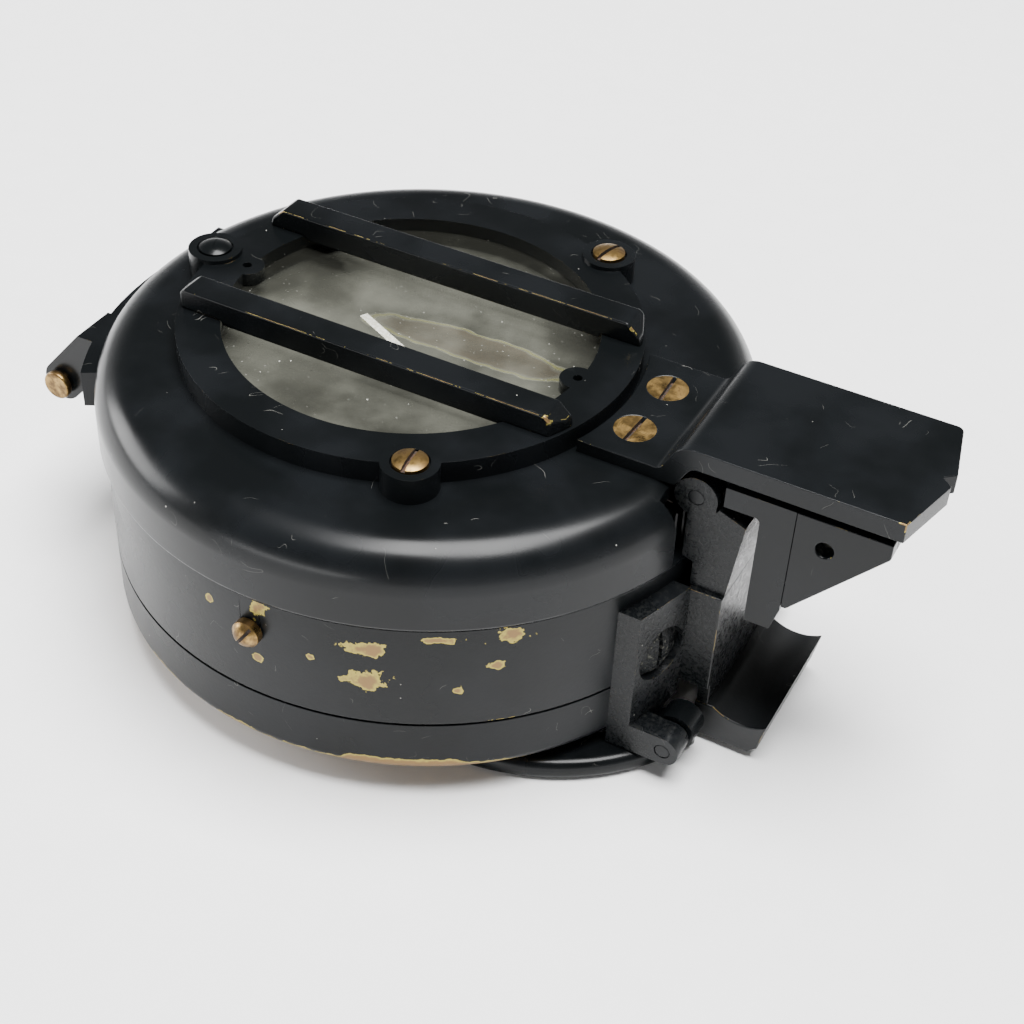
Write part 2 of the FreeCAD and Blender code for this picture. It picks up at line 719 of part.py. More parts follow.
# ---------------------------------------------------- prism guide and slide
def make_guide_brackets():
    """Two L brackets on the case wall: they guide the slide and carry the ring."""
    low = size("bracket_bottom")
    high = size("bracket_top")
    outer = size("bracket_outer")
    inner = size("bracket_inner")
    pivot_x = size("ring_pivot_reach")
    pivot_z = size("ring_pivot_height")
    ear_thick = 2.6
    ear_inner = outer - ear_thick
    ear_round = 1.6
    back_x = 25.5
    near_x, far_x = 29.9, 31.9
    lug_room_top = pivot_z + 0.3
    room_gap = 0.05
    head_radius = 2.5
    head_seat = 0.9       # how deep the screw's head sits below the bracket's face
    pin_inner = 8.7
    screws = []
    pins = []
    for side, label in ((-1, "guide_bracket_near"), (1, "guide_bracket_far")):
        plate = slab(label + "_plate", "XY_Plane", [
            (back_x, outer * side), (near_x, outer * side), (far_x, inner * side),
            (back_x, inner * side)], high - low, (0, 0, (high + low) / 2))
        ear_y = sorted([outer * side, ear_inner * side], key=lambda edge: edge.value)
        ear = box(label + "_ear", (27.5, ear_y[0], pivot_z - ear_round),
                  (pivot_x, ear_y[1], pivot_z + ear_round))
        nose = rod(label + "_nose", ear_round, ear_thick, (pivot_x, ear_y[0], pivot_z), "y")
        seat = bracket_screw_seat(side)
        inward = slant_turn(side).multVec(V(0, 0, 1))
        counterbore = seat - inward * 2.1
        room_y = sorted([ear_inner * side, inner * side], key=lambda edge: edge.value)
        room_low = room_y[0] - room_gap
        room_high = room_y[1] + room_gap
        tools = [
            rod(label + "_wall", size("case_radius"), THROUGH, (0, 0, -10)),
            box(label + "_lug_room", (27.0, room_low, low - 1), (40, room_high, lug_room_top)),
            rod(label + "_eye_room", 2.3, room_high - room_low, (pivot_x, room_low, pivot_z), "y"),
            rod(label + "_pin_hole", PIN_RADIUS, 10, (pivot_x, ear_y[0] - 2, pivot_z), "y"),
            rod(label + "_screw_hole", BRACKET_SCREW_SHANK, 8, tuple(seat), turn=slant_turn(side)),
            rod(label + "_counterbore", head_radius + 0.4, 3, tuple(counterbore),
                turn=slant_turn(side)),
        ]
        keep(label, cut(label + "_done", fuse(label + "_blank", plate, ear, nose), *tools))
        screw = slotted_screw(label, head_radius, 0.8, BRACKET_SCREW_SHANK, 2.4)
        screws.append(stand(screw, tuple(seat + inward * head_seat), slant_turn(side, inward=False)))
        pin_start = outer * side if side < 0 else as_size(pin_inner)
        pins.append(rod(label + "_pin", PIN_RADIUS, outer - pin_inner,
                        (pivot_x, pin_start, pivot_z), "y"))
    keep("guide_bracket_screws", group("bracket_screw_pair", *screws))
    keep("ring_pivot_pins", group("ring_pin_pair", *pins))


def make_slide():
    """Focusing slide: rail on the case, block, hinge ear and thumb piece."""
    back = size("block_back")
    front = size("block_front")
    low = size("block_bottom")
    high = size("block_top")
    gap = 0.3
    stem = 1.5
    head = 3.0
    head_back = 32.2
    head_front = 33.4
    rail_low = low + 0.4
    rail = fuse("rail_blank",
                box("rail_stem", (29.0, -stem, rail_low), (head_back, stem, high)),
                box("rail_head", (head_back, -head, rail_low), (head_front, head, high)))
    keep("slide_rail", cut("rail_done", rail,
                           rod("rail_wall", size("case_radius"), THROUGH, (0, 0, -10))))
    half = size("bracket_inner") - size("running_gap")
    neck_half = 7.4
    thumb_top = 1.3
    block = fuse("block_blank",
                 box("block_main", (back, -half, low), (front, half, high)),
                 box("block_neck", (head_front + gap, -neck_half, thumb_top), (front, neck_half, low)))
    stem_slot = box("stem_slot", (back - 1, -stem - gap, low - 1), (head_back, stem + gap, high + 1))
    head_slot = box("head_slot", (head_back - gap, -head - gap, low - 1),
                    (head_front + gap, head + gap, high + 1))
    keep("slide_block", cut("block_done", block, stem_slot, head_slot))
    thumb_back = 33.6
    thumb_front = 40.9
    thumb_low = -2.8
    lip = thumb_top + 0.6
    blank = slab("thumb_profile", "XZ_Plane", [
        (thumb_back, thumb_low), (thumb_front - 1.5, thumb_low), (thumb_front - 0.6, thumb_low + 0.9),
        (thumb_front, thumb_top), (thumb_front - 0.2, lip), (thumb_front - 1.0, lip),
        (thumb_front - 4.6, thumb_top), (thumb_back, thumb_top)], neck_half * 2)
    hollow_radius = 4.6
    hollow = rod("thumb_hollow", hollow_radius, THROUGH, (38.2, -THROUGH / 2, 5.0), "y")
    keep("thumb_piece", cut("thumb_done", blank, hollow))


def make_hinge_ear():
    """Upper block of the slide, with the outer knuckles of the prism hinge."""
    x = size("prism_pivot_reach")
    z = size("prism_pivot_height")
    knuckle = size("knuckle_radius")
    half = size("prism_half")
    seat = size("block_top")
    body = slab("ear_profile", "XZ_Plane", [
        (x + 0.5, seat), (size("block_front"), seat), (x + 4.9, z - 1.5), (x + 2.3, z - 0.5),
        (x + 0.8, z - 2.5), (x - 0.6, z - 2.5), (x - 0.6, 18.3), (x + 0.5, 17.9)], half * 2)
    width = 2.0
    pieces = [body]
    for side in (-1, 1):
        start = side * (half.value - width / 2) - width / 2
        pieces.append(rod("ear_knuckle_%d" % (side + 1), knuckle, width, (x, start, z), "y"))
        pieces.append(box("ear_web_%d" % (side + 1), (x - 0.6, start, z - 3.0), (x + 2.0, start + width, z)))
    keep("hinge_ear", cut("ear_done", fuse("ear_blank", *pieces),
                          rod("ear_knuckle_room", knuckle + 0.35, 11.0, (x, -5.5, z), "y"),
                          rod("ear_pin_hole", PIN_RADIUS, THROUGH, (x, -THROUGH / 2, z), "y")))


def make_prism():
    """Prism unit: frame with the inner knuckle, cheeks, cover, prism and eye lens."""
    x = size("prism_pivot_reach")
    z = size("prism_pivot_height")
    half = size("prism_half")
    top = 27.3
    plate_low = 25.2
    leg_back = 37.0
    leg_front = 40.1
    leg_foot = 13.5
    frame = slab("prism_frame_profile", "XZ_Plane", [
        (x + 2.6, plate_low), (x + 2.6, top), (leg_front, top), (leg_front, leg_foot + 2.6),
        (leg_front - 0.7, leg_foot), (leg_back, leg_foot), (leg_back, plate_low - 0.3),
        (leg_back - 0.3, plate_low)], half * 2)
    knuckle_half = 5.3
    knuckle = rod("prism_knuckle", size("knuckle_radius"), knuckle_half * 2, (x, -knuckle_half, z), "y")
    web = box("prism_knuckle_web", (x, -knuckle_half, plate_low), (x + 2.7, knuckle_half, top - 0.2))
    eye_height = 21.0
    lens_radius = 2.6
    ring_radius = 3.6
    ring_thick = 1.2
    seat_depth = 12.0
    tools = [rod("prism_pin_room", PIN_RADIUS + SIZES["running_gap"], THROUGH,
                 (x, -THROUGH / 2, z), "y"),
             rod("eye_bore", lens_radius, seat_depth, (leg_back - 4, 0, eye_height), "x"),
             rod("eye_seat", ring_radius, seat_depth,
                 (leg_back + ring_thick - seat_depth, 0, eye_height), "x")]
    keep("prism_frame", cut("prism_frame_done", fuse("prism_frame_blank", frame, knuckle, web), *tools))
    keep("eye_lens", rod("eye_disc", lens_radius, 1.9, (leg_back + ring_thick, 0, eye_height), "x"))
    keep("eye_lens_ring", cut(
        "eye_ring_done", rod("eye_ring_blank", ring_radius, ring_thick, (leg_back, 0, eye_height), "x"),
        rod("eye_ring_hole", lens_radius - 0.4, 4, (leg_back - 1, 0, eye_height), "x")))
    thick = size("cheek_thick")
    tip_x = 48.7
    tip_low = 25.7
    heel = 16.4
    hole_radius = 0.8
    for side, label in ((-1, "prism_cheek_near"), (1, "prism_cheek_far")):
        middle = (half - thick / 2) * side
        cheek = slab(label + "_plate", "XZ_Plane", [
            (leg_front, heel), (leg_front, top), (tip_x, top), (tip_x, tip_low), (leg_front + 0.5, heel)],
            thick, (0, middle, 0))
        hole = rod(label + "_hole", hole_radius, THROUGH, (43.0, -THROUGH / 2, 24.3), "y")
        keep(label, cut(label + "_done", cheek, hole))
    inner = half - thick
    rise = tip_low - heel
    run = tip_x - leg_front - 0.5
    cover_front = tip_x - 0.9
    keep("prism_cover", slab("cover_profile", "XZ_Plane", [
        (leg_front, heel), (leg_front + 0.5, heel), (tip_x, tip_low), (tip_x, top), (cover_front, top),
        (cover_front, tip_low + 0.4), (leg_front, heel + 1.2)], inner * 2))
    slope = rise / run
    glass_low = heel + 2.4
    glass_top = top - 0.4
    glass_back = leg_front + 0.15
    glass_front = tip_x - 1.3
    top_front = min(glass_back + (glass_top - glass_low) / slope, glass_front)
    keep("prism_glass", slab("glass_profile", "XZ_Plane", [
        (glass_back, glass_low), (glass_back, glass_top), (top_front, glass_top),
        (glass_front, tip_low + 0.8)], (inner - 0.1) * 2))
    keep("prism_hinge_pin", rod("prism_pin", PIN_RADIUS, half * 2, (x, -half, z), "y"))


# ------------------------------------------------------------- thumb ring
def make_thumb_ring():
    """Thumb ring: an open bow with a lug at each end, folded under the base."""
    outer = size("ring_radius")
    centre = size("ring_centre")
    thick = size("ring_thick")
    low = size("ring_top") - thick
    inner = outer - size("ring_band")
    pivot_x = size("ring_pivot_reach")
    pivot_z = size("ring_pivot_height")
    bow = turned("ring_bow", [(inner, 0), (outer, 0), (outer, thick), (inner, thick)])
    edge_round = 1.0
    for radius, label in ((outer, "outer"), (inner, "inner")):
        round_edges(bow, "ring_%s_top_round" % label, edge_round, ring_edge(radius, thick))
        round_edges(bow, "ring_%s_low_round" % label, edge_round, ring_edge(radius, 0))
    place(bow, (centre, 0, low))
    lug_back = 28.4
    lug_inner = 8.9
    lug_outer = 11.5
    lug_width = lug_outer - lug_inner
    eye = 1.9
    opened = cut("ring_opened", bow, box("ring_mouth", (20, -lug_inner, -10), (60, lug_inner, 10)))
    pieces = [opened]
    for side in (-1, 1):
        start = lug_inner if side > 0 else -lug_outer
        lug = slab("ring_lug_%d" % (side + 1), "XZ_Plane", [
            (lug_back, low), (lug_back, low + thick), (pivot_x - eye, pivot_z), (pivot_x, pivot_z - eye),
            (pivot_x - 0.6, low)], lug_width, (0, start + lug_width / 2, 0))
        pieces.append(lug)
        pieces.append(rod("ring_eye_%d" % (side + 1), eye, lug_width, (pivot_x, start, pivot_z), "y"))
    keep("thumb_ring", cut("ring_done", fuse("ring_blank", *pieces),
                           rod("ring_pin_room", PIN_RADIUS + SIZES["running_gap"], THROUGH,
                               (pivot_x, -THROUGH / 2, pivot_z), "y"),
                           rod("ring_bore", inner, thick + 4, (centre, 0, low - 2))))


make_base_cap()
make_case_body()
make_capsule()
make_compass_card()
make_bezel()
make_clamp_screw()
make_lid_shell()
make_window_frame()
make_guard_bars()
make_tongue()
make_lid_hinge()
make_guide_brackets()
make_slide()
make_hinge_ear()
make_prism()
make_thumb_ring()
doc.recompute()

# ------------------------------------------------------------------ check
failed = [obj.Name for obj in doc.Objects if "Invalid" in obj.State or "Error" in obj.State]
if failed:
    raise RuntimeError("objects that failed: " + ", ".join(failed))
for label, obj in subparts.items():
    shape = obj.Shape
    if shape.isNull() or not shape.isValid() or not shape.Solids:
        raise RuntimeError("bad shape: " + label)

os.makedirs("parts", exist_ok=True)
for label, obj in subparts.items():
    obj.Shape.exportStep("parts/%s.step" % label)
print("%d nodes written" % len(subparts))
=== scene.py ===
"""Looks of the sighting compass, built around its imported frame.

Lengths in the shape code are millimetres and turn to metres in the mesh.
+Z is the case axis, +X the prism side, -X the lid hinge, -Y the near side.
"""

import math

import bmesh
import bpy
from mathutils import Matrix, Vector


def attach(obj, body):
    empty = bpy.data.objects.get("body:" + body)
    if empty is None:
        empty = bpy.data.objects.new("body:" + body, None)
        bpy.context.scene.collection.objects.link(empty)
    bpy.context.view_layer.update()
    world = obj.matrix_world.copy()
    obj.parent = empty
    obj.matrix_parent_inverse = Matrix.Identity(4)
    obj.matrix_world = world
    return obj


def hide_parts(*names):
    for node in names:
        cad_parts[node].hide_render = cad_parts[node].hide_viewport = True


bl_info = {
    "name": "Sighting Compass",
    "version": (1, 0, 0),
    "blender": (4, 5, 0),
    "location": "3D View > Sidebar > Compass",
    "description": "Builds the visible pieces of a sighting compass around its frame",
    "category": "Add Mesh",
}

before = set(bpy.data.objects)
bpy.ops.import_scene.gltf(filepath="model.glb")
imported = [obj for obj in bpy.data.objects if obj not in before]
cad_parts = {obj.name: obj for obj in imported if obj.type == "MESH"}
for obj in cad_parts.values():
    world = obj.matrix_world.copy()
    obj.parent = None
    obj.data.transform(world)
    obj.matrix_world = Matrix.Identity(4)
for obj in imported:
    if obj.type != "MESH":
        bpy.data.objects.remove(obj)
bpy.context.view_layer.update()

MM = 0.001
TURN = math.tau

# Driving sizes in mm. Heights are above the underside of the base cap.
CASE_RADIUS = 31.2      # outside of the case wall
CASE_BORE = 26.6        # what the capsule sits in
CAP_SOCKET = 29.0       # bore that the base cap screws into
NECK_TOP = 20.9         # rim that the bezel turns on
DIAL_TOP = 17.9
BEZEL_GLASS = 21.4      # underside of the bezel's glass
BEZEL_TOP = 22.4
LID_GLASS = 24.7        # underside of the lid's glass
WINDOW = -2.0           # centre of the lid's window on X
LUG_SEAT = 27.9         # under the screw heads on the window frame's lugs
CLAMP_HEIGHT = 13.8     # of the bezel clamp screw in the wall
FLOOR = -3.5            # the thumb ring lies on it


# ------------------------------------------------------------------ colours
def shade(code):
    """Linear colour of an sRGB hex value."""
    parts = [int(code[i:i + 2], 16) / 255 for i in (1, 3, 5)]
    linear = [p / 12.92 if p <= 0.04045 else ((p + 0.055) / 1.055) ** 2.4 for p in parts]
    return (*linear, 1.0)


def colour_setting(name, description, code):
    return bpy.props.FloatVectorProperty(name=name, description=description, subtype="COLOR",
                                         size=4, min=0.0, max=1.0, default=shade(code))


def length_setting(name, description, millimetres):
    return bpy.props.FloatProperty(name=name, description=description, unit="LENGTH", subtype="DISTANCE",
                                   min=0.0, precision=5, default=millimetres * MM)


class CompassColours(bpy.types.PropertyGroup):
    """Colours of the compass's finishes."""
    enamel: colour_setting("Stove enamel", "Black enamel on all the brass parts", "#090b0c")
    enamel_thin: colour_setting("Thin enamel", "Enamel where it is dulled by handling", "#0f1113")
    brass: colour_setting("Bare brass", "Turned brass of the screws", "#94794a")
    brass_dull: colour_setting("Dull brass", "Old brass where the enamel has gone", "#765f40")
    brass_rim: colour_setting("Fresh brass", "Brass at the rim of a chip", "#958846")
    pearl: colour_setting("Pearl", "Pale body of the mother-of-pearl dial", "#fbfbf2")
    pearl_cloud: colour_setting("Pearl cloud", "Darker growth bands in the dial", "#a2a294")
    # Also the pale tint of the glass's painted reflection at grazing angles.
    glass_haze_and_sheen: colour_setting("Glass film", "Dust and haze on the lid glass", "#a9aa9c")
    paint_white: colour_setting("White paint", "Luminous paint and filled graduations", "#d8d8cf")


class CompassSizes(bpy.types.PropertyGroup):
    """Sizes a maker would change without touching the frame."""
    edge_break: length_setting("Edge break", "Broken edge of the small milled parts", 0.2)
    case_break: length_setting("Case edge break", "Broken edge of the turned case rings", 0.14)
    ring_break: length_setting("Ring edge break", "Broken edge of the thumb ring's lugs", 0.2)
    rib_radius: length_setting("Grip rib radius", "Half round rib on the bezel's grip", 0.32)
    graduation_width: length_setting("Graduation width", "White line cut in the bezel", 0.16)
    figure_height: length_setting("Dial figure height", "Height of the figures on the dial", 1.7)
    ribs: bpy.props.IntProperty(name="Grip ribs", description="Ribs round the bezel", default=150, min=12)
    graduations: bpy.props.IntProperty(name="Graduations", description="Lines round the bezel",
                                       default=120, min=12)


def colour(name):
    return tuple(getattr(bpy.context.scene.compass_colours, name))


def setting(name):
    """A size setting in millimetres, or a plain count."""
    value = getattr(bpy.context.scene.compass_sizes, name)
    return value if isinstance(value, int) else value / MM


# ------------------------------------------------------------ node helpers
COLOUR_A = 6   # inputs of a Mix node, which share their names
COLOUR_B = 7
NUMBER_A = 2
NUMBER_B = 3


def feed(node, inputs):
    """Fill a node's inputs: sockets and nodes are linked, and anything else is a value.

    A node stands for its first output that is in use.
    """
    for key, value in inputs.items():
        if isinstance(value, bpy.types.Node):
            value = next(socket for socket in value.outputs if socket.enabled)
        if isinstance(value, bpy.types.NodeSocket):
            node.id_data.links.new(value, node.inputs[key])
        else:
            node.inputs[key].default_value = value


def put(tree, kind, inputs=None, **settings):
    """Add one node with its settings and its inputs."""
    node = tree.nodes.new(kind)
    for key, value in settings.items():
        setattr(node, key, value)
    feed(node, inputs or {})
    return node


def per_mm(size):
    """Texture scale, on coordinates in metres, of a pattern whose cell is size mm."""
    return 1.0 / (size * MM)


def new_finish(name, **shader_values):
    """A material with one principled shader; gives it, its tree, shader and coordinates."""
    material = bpy.data.materials.new(name)
    material.use_nodes = True
    tree = material.node_tree
    tree.nodes.clear()
    shader = put(tree, "ShaderNodeBsdfPrincipled")
    for key, value in shader_values.items():
        shader.inputs[key.replace("_", " ")].default_value = value
    put(tree, "ShaderNodeOutputMaterial", {"Surface": shader.outputs["BSDF"]})
    where = put(tree, "ShaderNodeTexCoord").outputs["Object"]
    return material, tree, shader, where


# ---------------------------------------------------------------- finishes
DUST_CELL = 1.5       # mm between places where a speck may lie
DUST_RADIUS = 0.085   # mm; real dust is finer, and this is as fine as it can show


def dust(tree, where, share=0.16):
    """Mask of pale specks that lie here and there."""
    wobble = put(tree, "ShaderNodeTexNoise", {"Vector": where, "Scale": per_mm(0.35), "Detail": 1.0})
    bent = put(tree, "ShaderNodeMixRGB", {
        "Fac": 8e-05, "Color1": where, "Color2": wobble.outputs["Color"]}, blend_type="ADD")
    cell = put(tree, "ShaderNodeTexVoronoi", {"Vector": bent, "Scale": per_mm(DUST_CELL)})
    speck = put(tree, "ShaderNodeMapRange", {
        "Value": cell, "From Min": DUST_RADIUS / DUST_CELL, "From Max": 0.5 * DUST_RADIUS / DUST_CELL},
        interpolation_type="SMOOTHSTEP")
    lot = put(tree, "ShaderNodeSeparateColor", {"Color": cell.outputs["Color"]})
    chosen = put(tree, "ShaderNodeMath", {0: lot.outputs[0], 1: share}, operation="LESS_THAN")
    faint = put(tree, "ShaderNodeMapRange", {
        "Value": lot.outputs[1], "From Min": 0.0, "From Max": 1.0, "To Min": 0.25},
        interpolation_type="SMOOTHSTEP")
    return put(tree, "ShaderNodeMath", {
        0: put(tree, "ShaderNodeMath", {0: speck, 1: chosen}, operation="MULTIPLY"), 1: faint},
        operation="MULTIPLY")


def scratches(tree, where):
    """Mask of a few hair-fine lines: narrow level bands of a slow noise, broken up."""
    slow = put(tree, "ShaderNodeTexNoise", {"Vector": where, "Scale": per_mm(4.0), "Detail": 1.0,
                                            "Distortion": 0.6})
    band = put(tree, "ShaderNodeMath", {
        0: put(tree, "ShaderNodeMath", {0: slow, 1: 0.5}, operation="SUBTRACT")}, operation="ABSOLUTE")
    line = put(tree, "ShaderNodeMapRange", {"Value": band, "From Min": 0.0016, "From Max": 0.0006},
        interpolation_type="SMOOTHSTEP")
    patch = put(tree, "ShaderNodeTexNoise", {"Vector": where, "Scale": per_mm(2.2), "Detail": 0.0})
    return put(tree, "ShaderNodeMath", {
        0: line,
        1: put(tree, "ShaderNodeMapRange", {"Value": patch, "From Min": 0.68, "From Max": 0.72},
            interpolation_type="SMOOTHSTEP")}, operation="MULTIPLY")


# Places on the case wall where the enamel has chipped off:
# turn about the case axis in degrees, height, half width and half height in mm.
WALL_CHIPS = ((-70.3, 14.9, 1.9, 0.8), (-69.8, 11.1, 2.0, 1.0), (-46.6, 16.3, 1.7, 0.8),
              (-49.0, 13.1, 0.8, 0.5), (-55.3, 10.3, 0.6, 0.6), (-79.1, 12.8, 0.5, 0.4),
              (-98.2, 15.1, 0.4, 0.4), (-88.9, 10.6, 0.7, 0.4), (-58.8, 16.5, 2.0, 0.4),
              (-88.6, 16.6, 1.1, 1.0))


def wall_chips(tree, where):
    """How deep inside a chip a point of the case wall lies; above 0 is bare."""
    ragged = put(tree, "ShaderNodeTexNoise", {"Vector": where, "Scale": per_mm(1.5), "Detail": 3.0,
                                              "Roughness": 0.6})
    depth = put(tree, "ShaderNodeMath", {
        0: put(tree, "ShaderNodeMath", {0: ragged, 1: 0.5}, operation="SUBTRACT"), 1: 3.4},
        operation="MULTIPLY")
    wall = CASE_RADIUS * MM
    nearest = None
    for turn, height, half_width, half_height in WALL_CHIPS:
        angle = math.radians(turn)
        local = put(tree, "ShaderNodeMapping", {
            "Vector": where, "Location": (wall * math.cos(angle), wall * math.sin(angle), height * MM),
            "Rotation": (0, 0, angle), "Scale": (8 * MM, half_width * MM, half_height * MM)},
            vector_type="TEXTURE")
        reach = put(tree, "ShaderNodeVectorMath", {0: local}, operation="LENGTH")
        if nearest:
            reach = put(tree, "ShaderNodeMath", {0: nearest, 1: reach}, operation="MINIMUM")
        nearest = reach
    inside = put(tree, "ShaderNodeMath", {0: 1.0, 1: nearest}, operation="SUBTRACT")
    # Small chips at random round the rest of the wall, a few mm apart.
    cell = put(tree, "ShaderNodeTexVoronoi", {"Vector": where, "Scale": per_mm(11.0)})
    lot = put(tree, "ShaderNodeSeparateColor", {"Color": cell.outputs["Color"]})
    reach = put(tree, "ShaderNodeMath", {
        0: cell, 1: put(tree, "ShaderNodeMath", {0: lot.outputs[0], 1: 0.3}, operation="GREATER_THAN")},
        operation="ADD")
    fleck = put(tree, "ShaderNodeMath", {
        0: put(tree, "ShaderNodeMath", {0: 0.06, 1: reach}, operation="SUBTRACT"), 1: 14.0},
        operation="MULTIPLY")
    return put(tree, "ShaderNodeMath", {
        0: put(tree, "ShaderNodeMath", {0: inside, 1: fleck}, operation="MAXIMUM"), 1: depth},
        operation="ADD")


def foot_wear(tree, where):
    """Bare band along the base's lower edge, with a ragged upper limit."""
    part = put(tree, "ShaderNodeSeparateXYZ", {"Vector": where})
    wide = put(tree, "ShaderNodeTexNoise", {"Vector": where, "Scale": per_mm(11.0), "Detail": 1.0})
    ragged = put(tree, "ShaderNodeTexNoise", {"Vector": where, "Scale": per_mm(1.1), "Detail": 3.0})
    limit = put(tree, "ShaderNodeMapRange", {
        "Value": wide, "From Min": 0.42, "From Max": 0.68, "To Min": 0.8 * MM, "To Max": 1.6 * MM},
        interpolation_type="SMOOTHSTEP")
    edge = put(tree, "ShaderNodeMath", {
        0: limit,
        1: put(tree, "ShaderNodeMath", {
            0: put(tree, "ShaderNodeMath", {0: ragged, 1: 0.5}, operation="SUBTRACT"), 1: 1.1 * MM},
            operation="MULTIPLY")}, operation="ADD")
    sheltered = put(tree, "ShaderNodeMapRange", {
        "Value": part.outputs["X"], "From Min": 20.0 * MM, "From Max": 27.0 * MM, "To Max": 3.0},
        interpolation_type="SMOOTHSTEP")
    return put(tree, "ShaderNodeMath", {
        0: put(tree, "ShaderNodeMath", {
            0: put(tree, "ShaderNodeMath", {0: edge, 1: part.outputs["Z"]}, operation="SUBTRACT"),
            1: 2.0 / MM}, operation="MULTIPLY"), 1: sheltered}, operation="SUBTRACT")


def edge_rub(share, corners=()):
    """Wear for broken edges: brass shows along this share of their length and at the corners."""
    def wear(tree, where):
        long = put(tree, "ShaderNodeTexNoise", {"Vector": where, "Scale": per_mm(3.2), "Detail": 2.0})
        fine = put(tree, "ShaderNodeTexNoise", {"Vector": where, "Scale": per_mm(0.4), "Detail": 2.0})
        both = put(tree, "ShaderNodeMath", {
            0: long, 1: put(tree, "ShaderNodeMath", {0: fine, 1: 0.5}, operation="MULTIPLY")},
            operation="ADD")
        bare = put(tree, "ShaderNodeMath", {
            0: put(tree, "ShaderNodeMath", {0: both, 1: 0.92 - 0.34 * share}, operation="SUBTRACT"),
            1: 8.0}, operation="MULTIPLY")
        # Only the very corner of the rounded edge rubs through, where no axis faces it squarely.
        facing = put(tree, "ShaderNodeVectorMath", {0: put(tree, "ShaderNodeTexCoord").outputs["Normal"]},
            operation="ABSOLUTE")
        part = put(tree, "ShaderNodeSeparateXYZ", {"Vector": facing})
        square = put(tree, "ShaderNodeMath", {
            0: put(tree, "ShaderNodeMath", {0: part.outputs[0], 1: part.outputs[1]}, operation="MAXIMUM"),
            1: part.outputs[2]}, operation="MAXIMUM")
        bare = put(tree, "ShaderNodeMath", {
            0: bare,
            1: put(tree, "ShaderNodeMapRange", {
                "Value": square, "From Min": 0.74, "From Max": 0.88, "To Max": 4.0},
                interpolation_type="SMOOTHSTEP")}, operation="SUBTRACT")
        for corner in corners:
            reach = put(tree, "ShaderNodeVectorMath", {0: where, 1: [c * MM for c in corner]},
                operation="DISTANCE")
            spot = put(tree, "ShaderNodeMath", {
                0: put(tree, "ShaderNodeMath", {
                    0: put(tree, "ShaderNodeMath", {0: fine, 1: 1.1 * MM}, operation="MULTIPLY"),
                    1: reach}, operation="SUBTRACT"), 1: 2.5 / MM}, operation="MULTIPLY")
            bare = put(tree, "ShaderNodeMath", {0: bare, 1: spot}, operation="MAXIMUM")
        return bare
    return wear


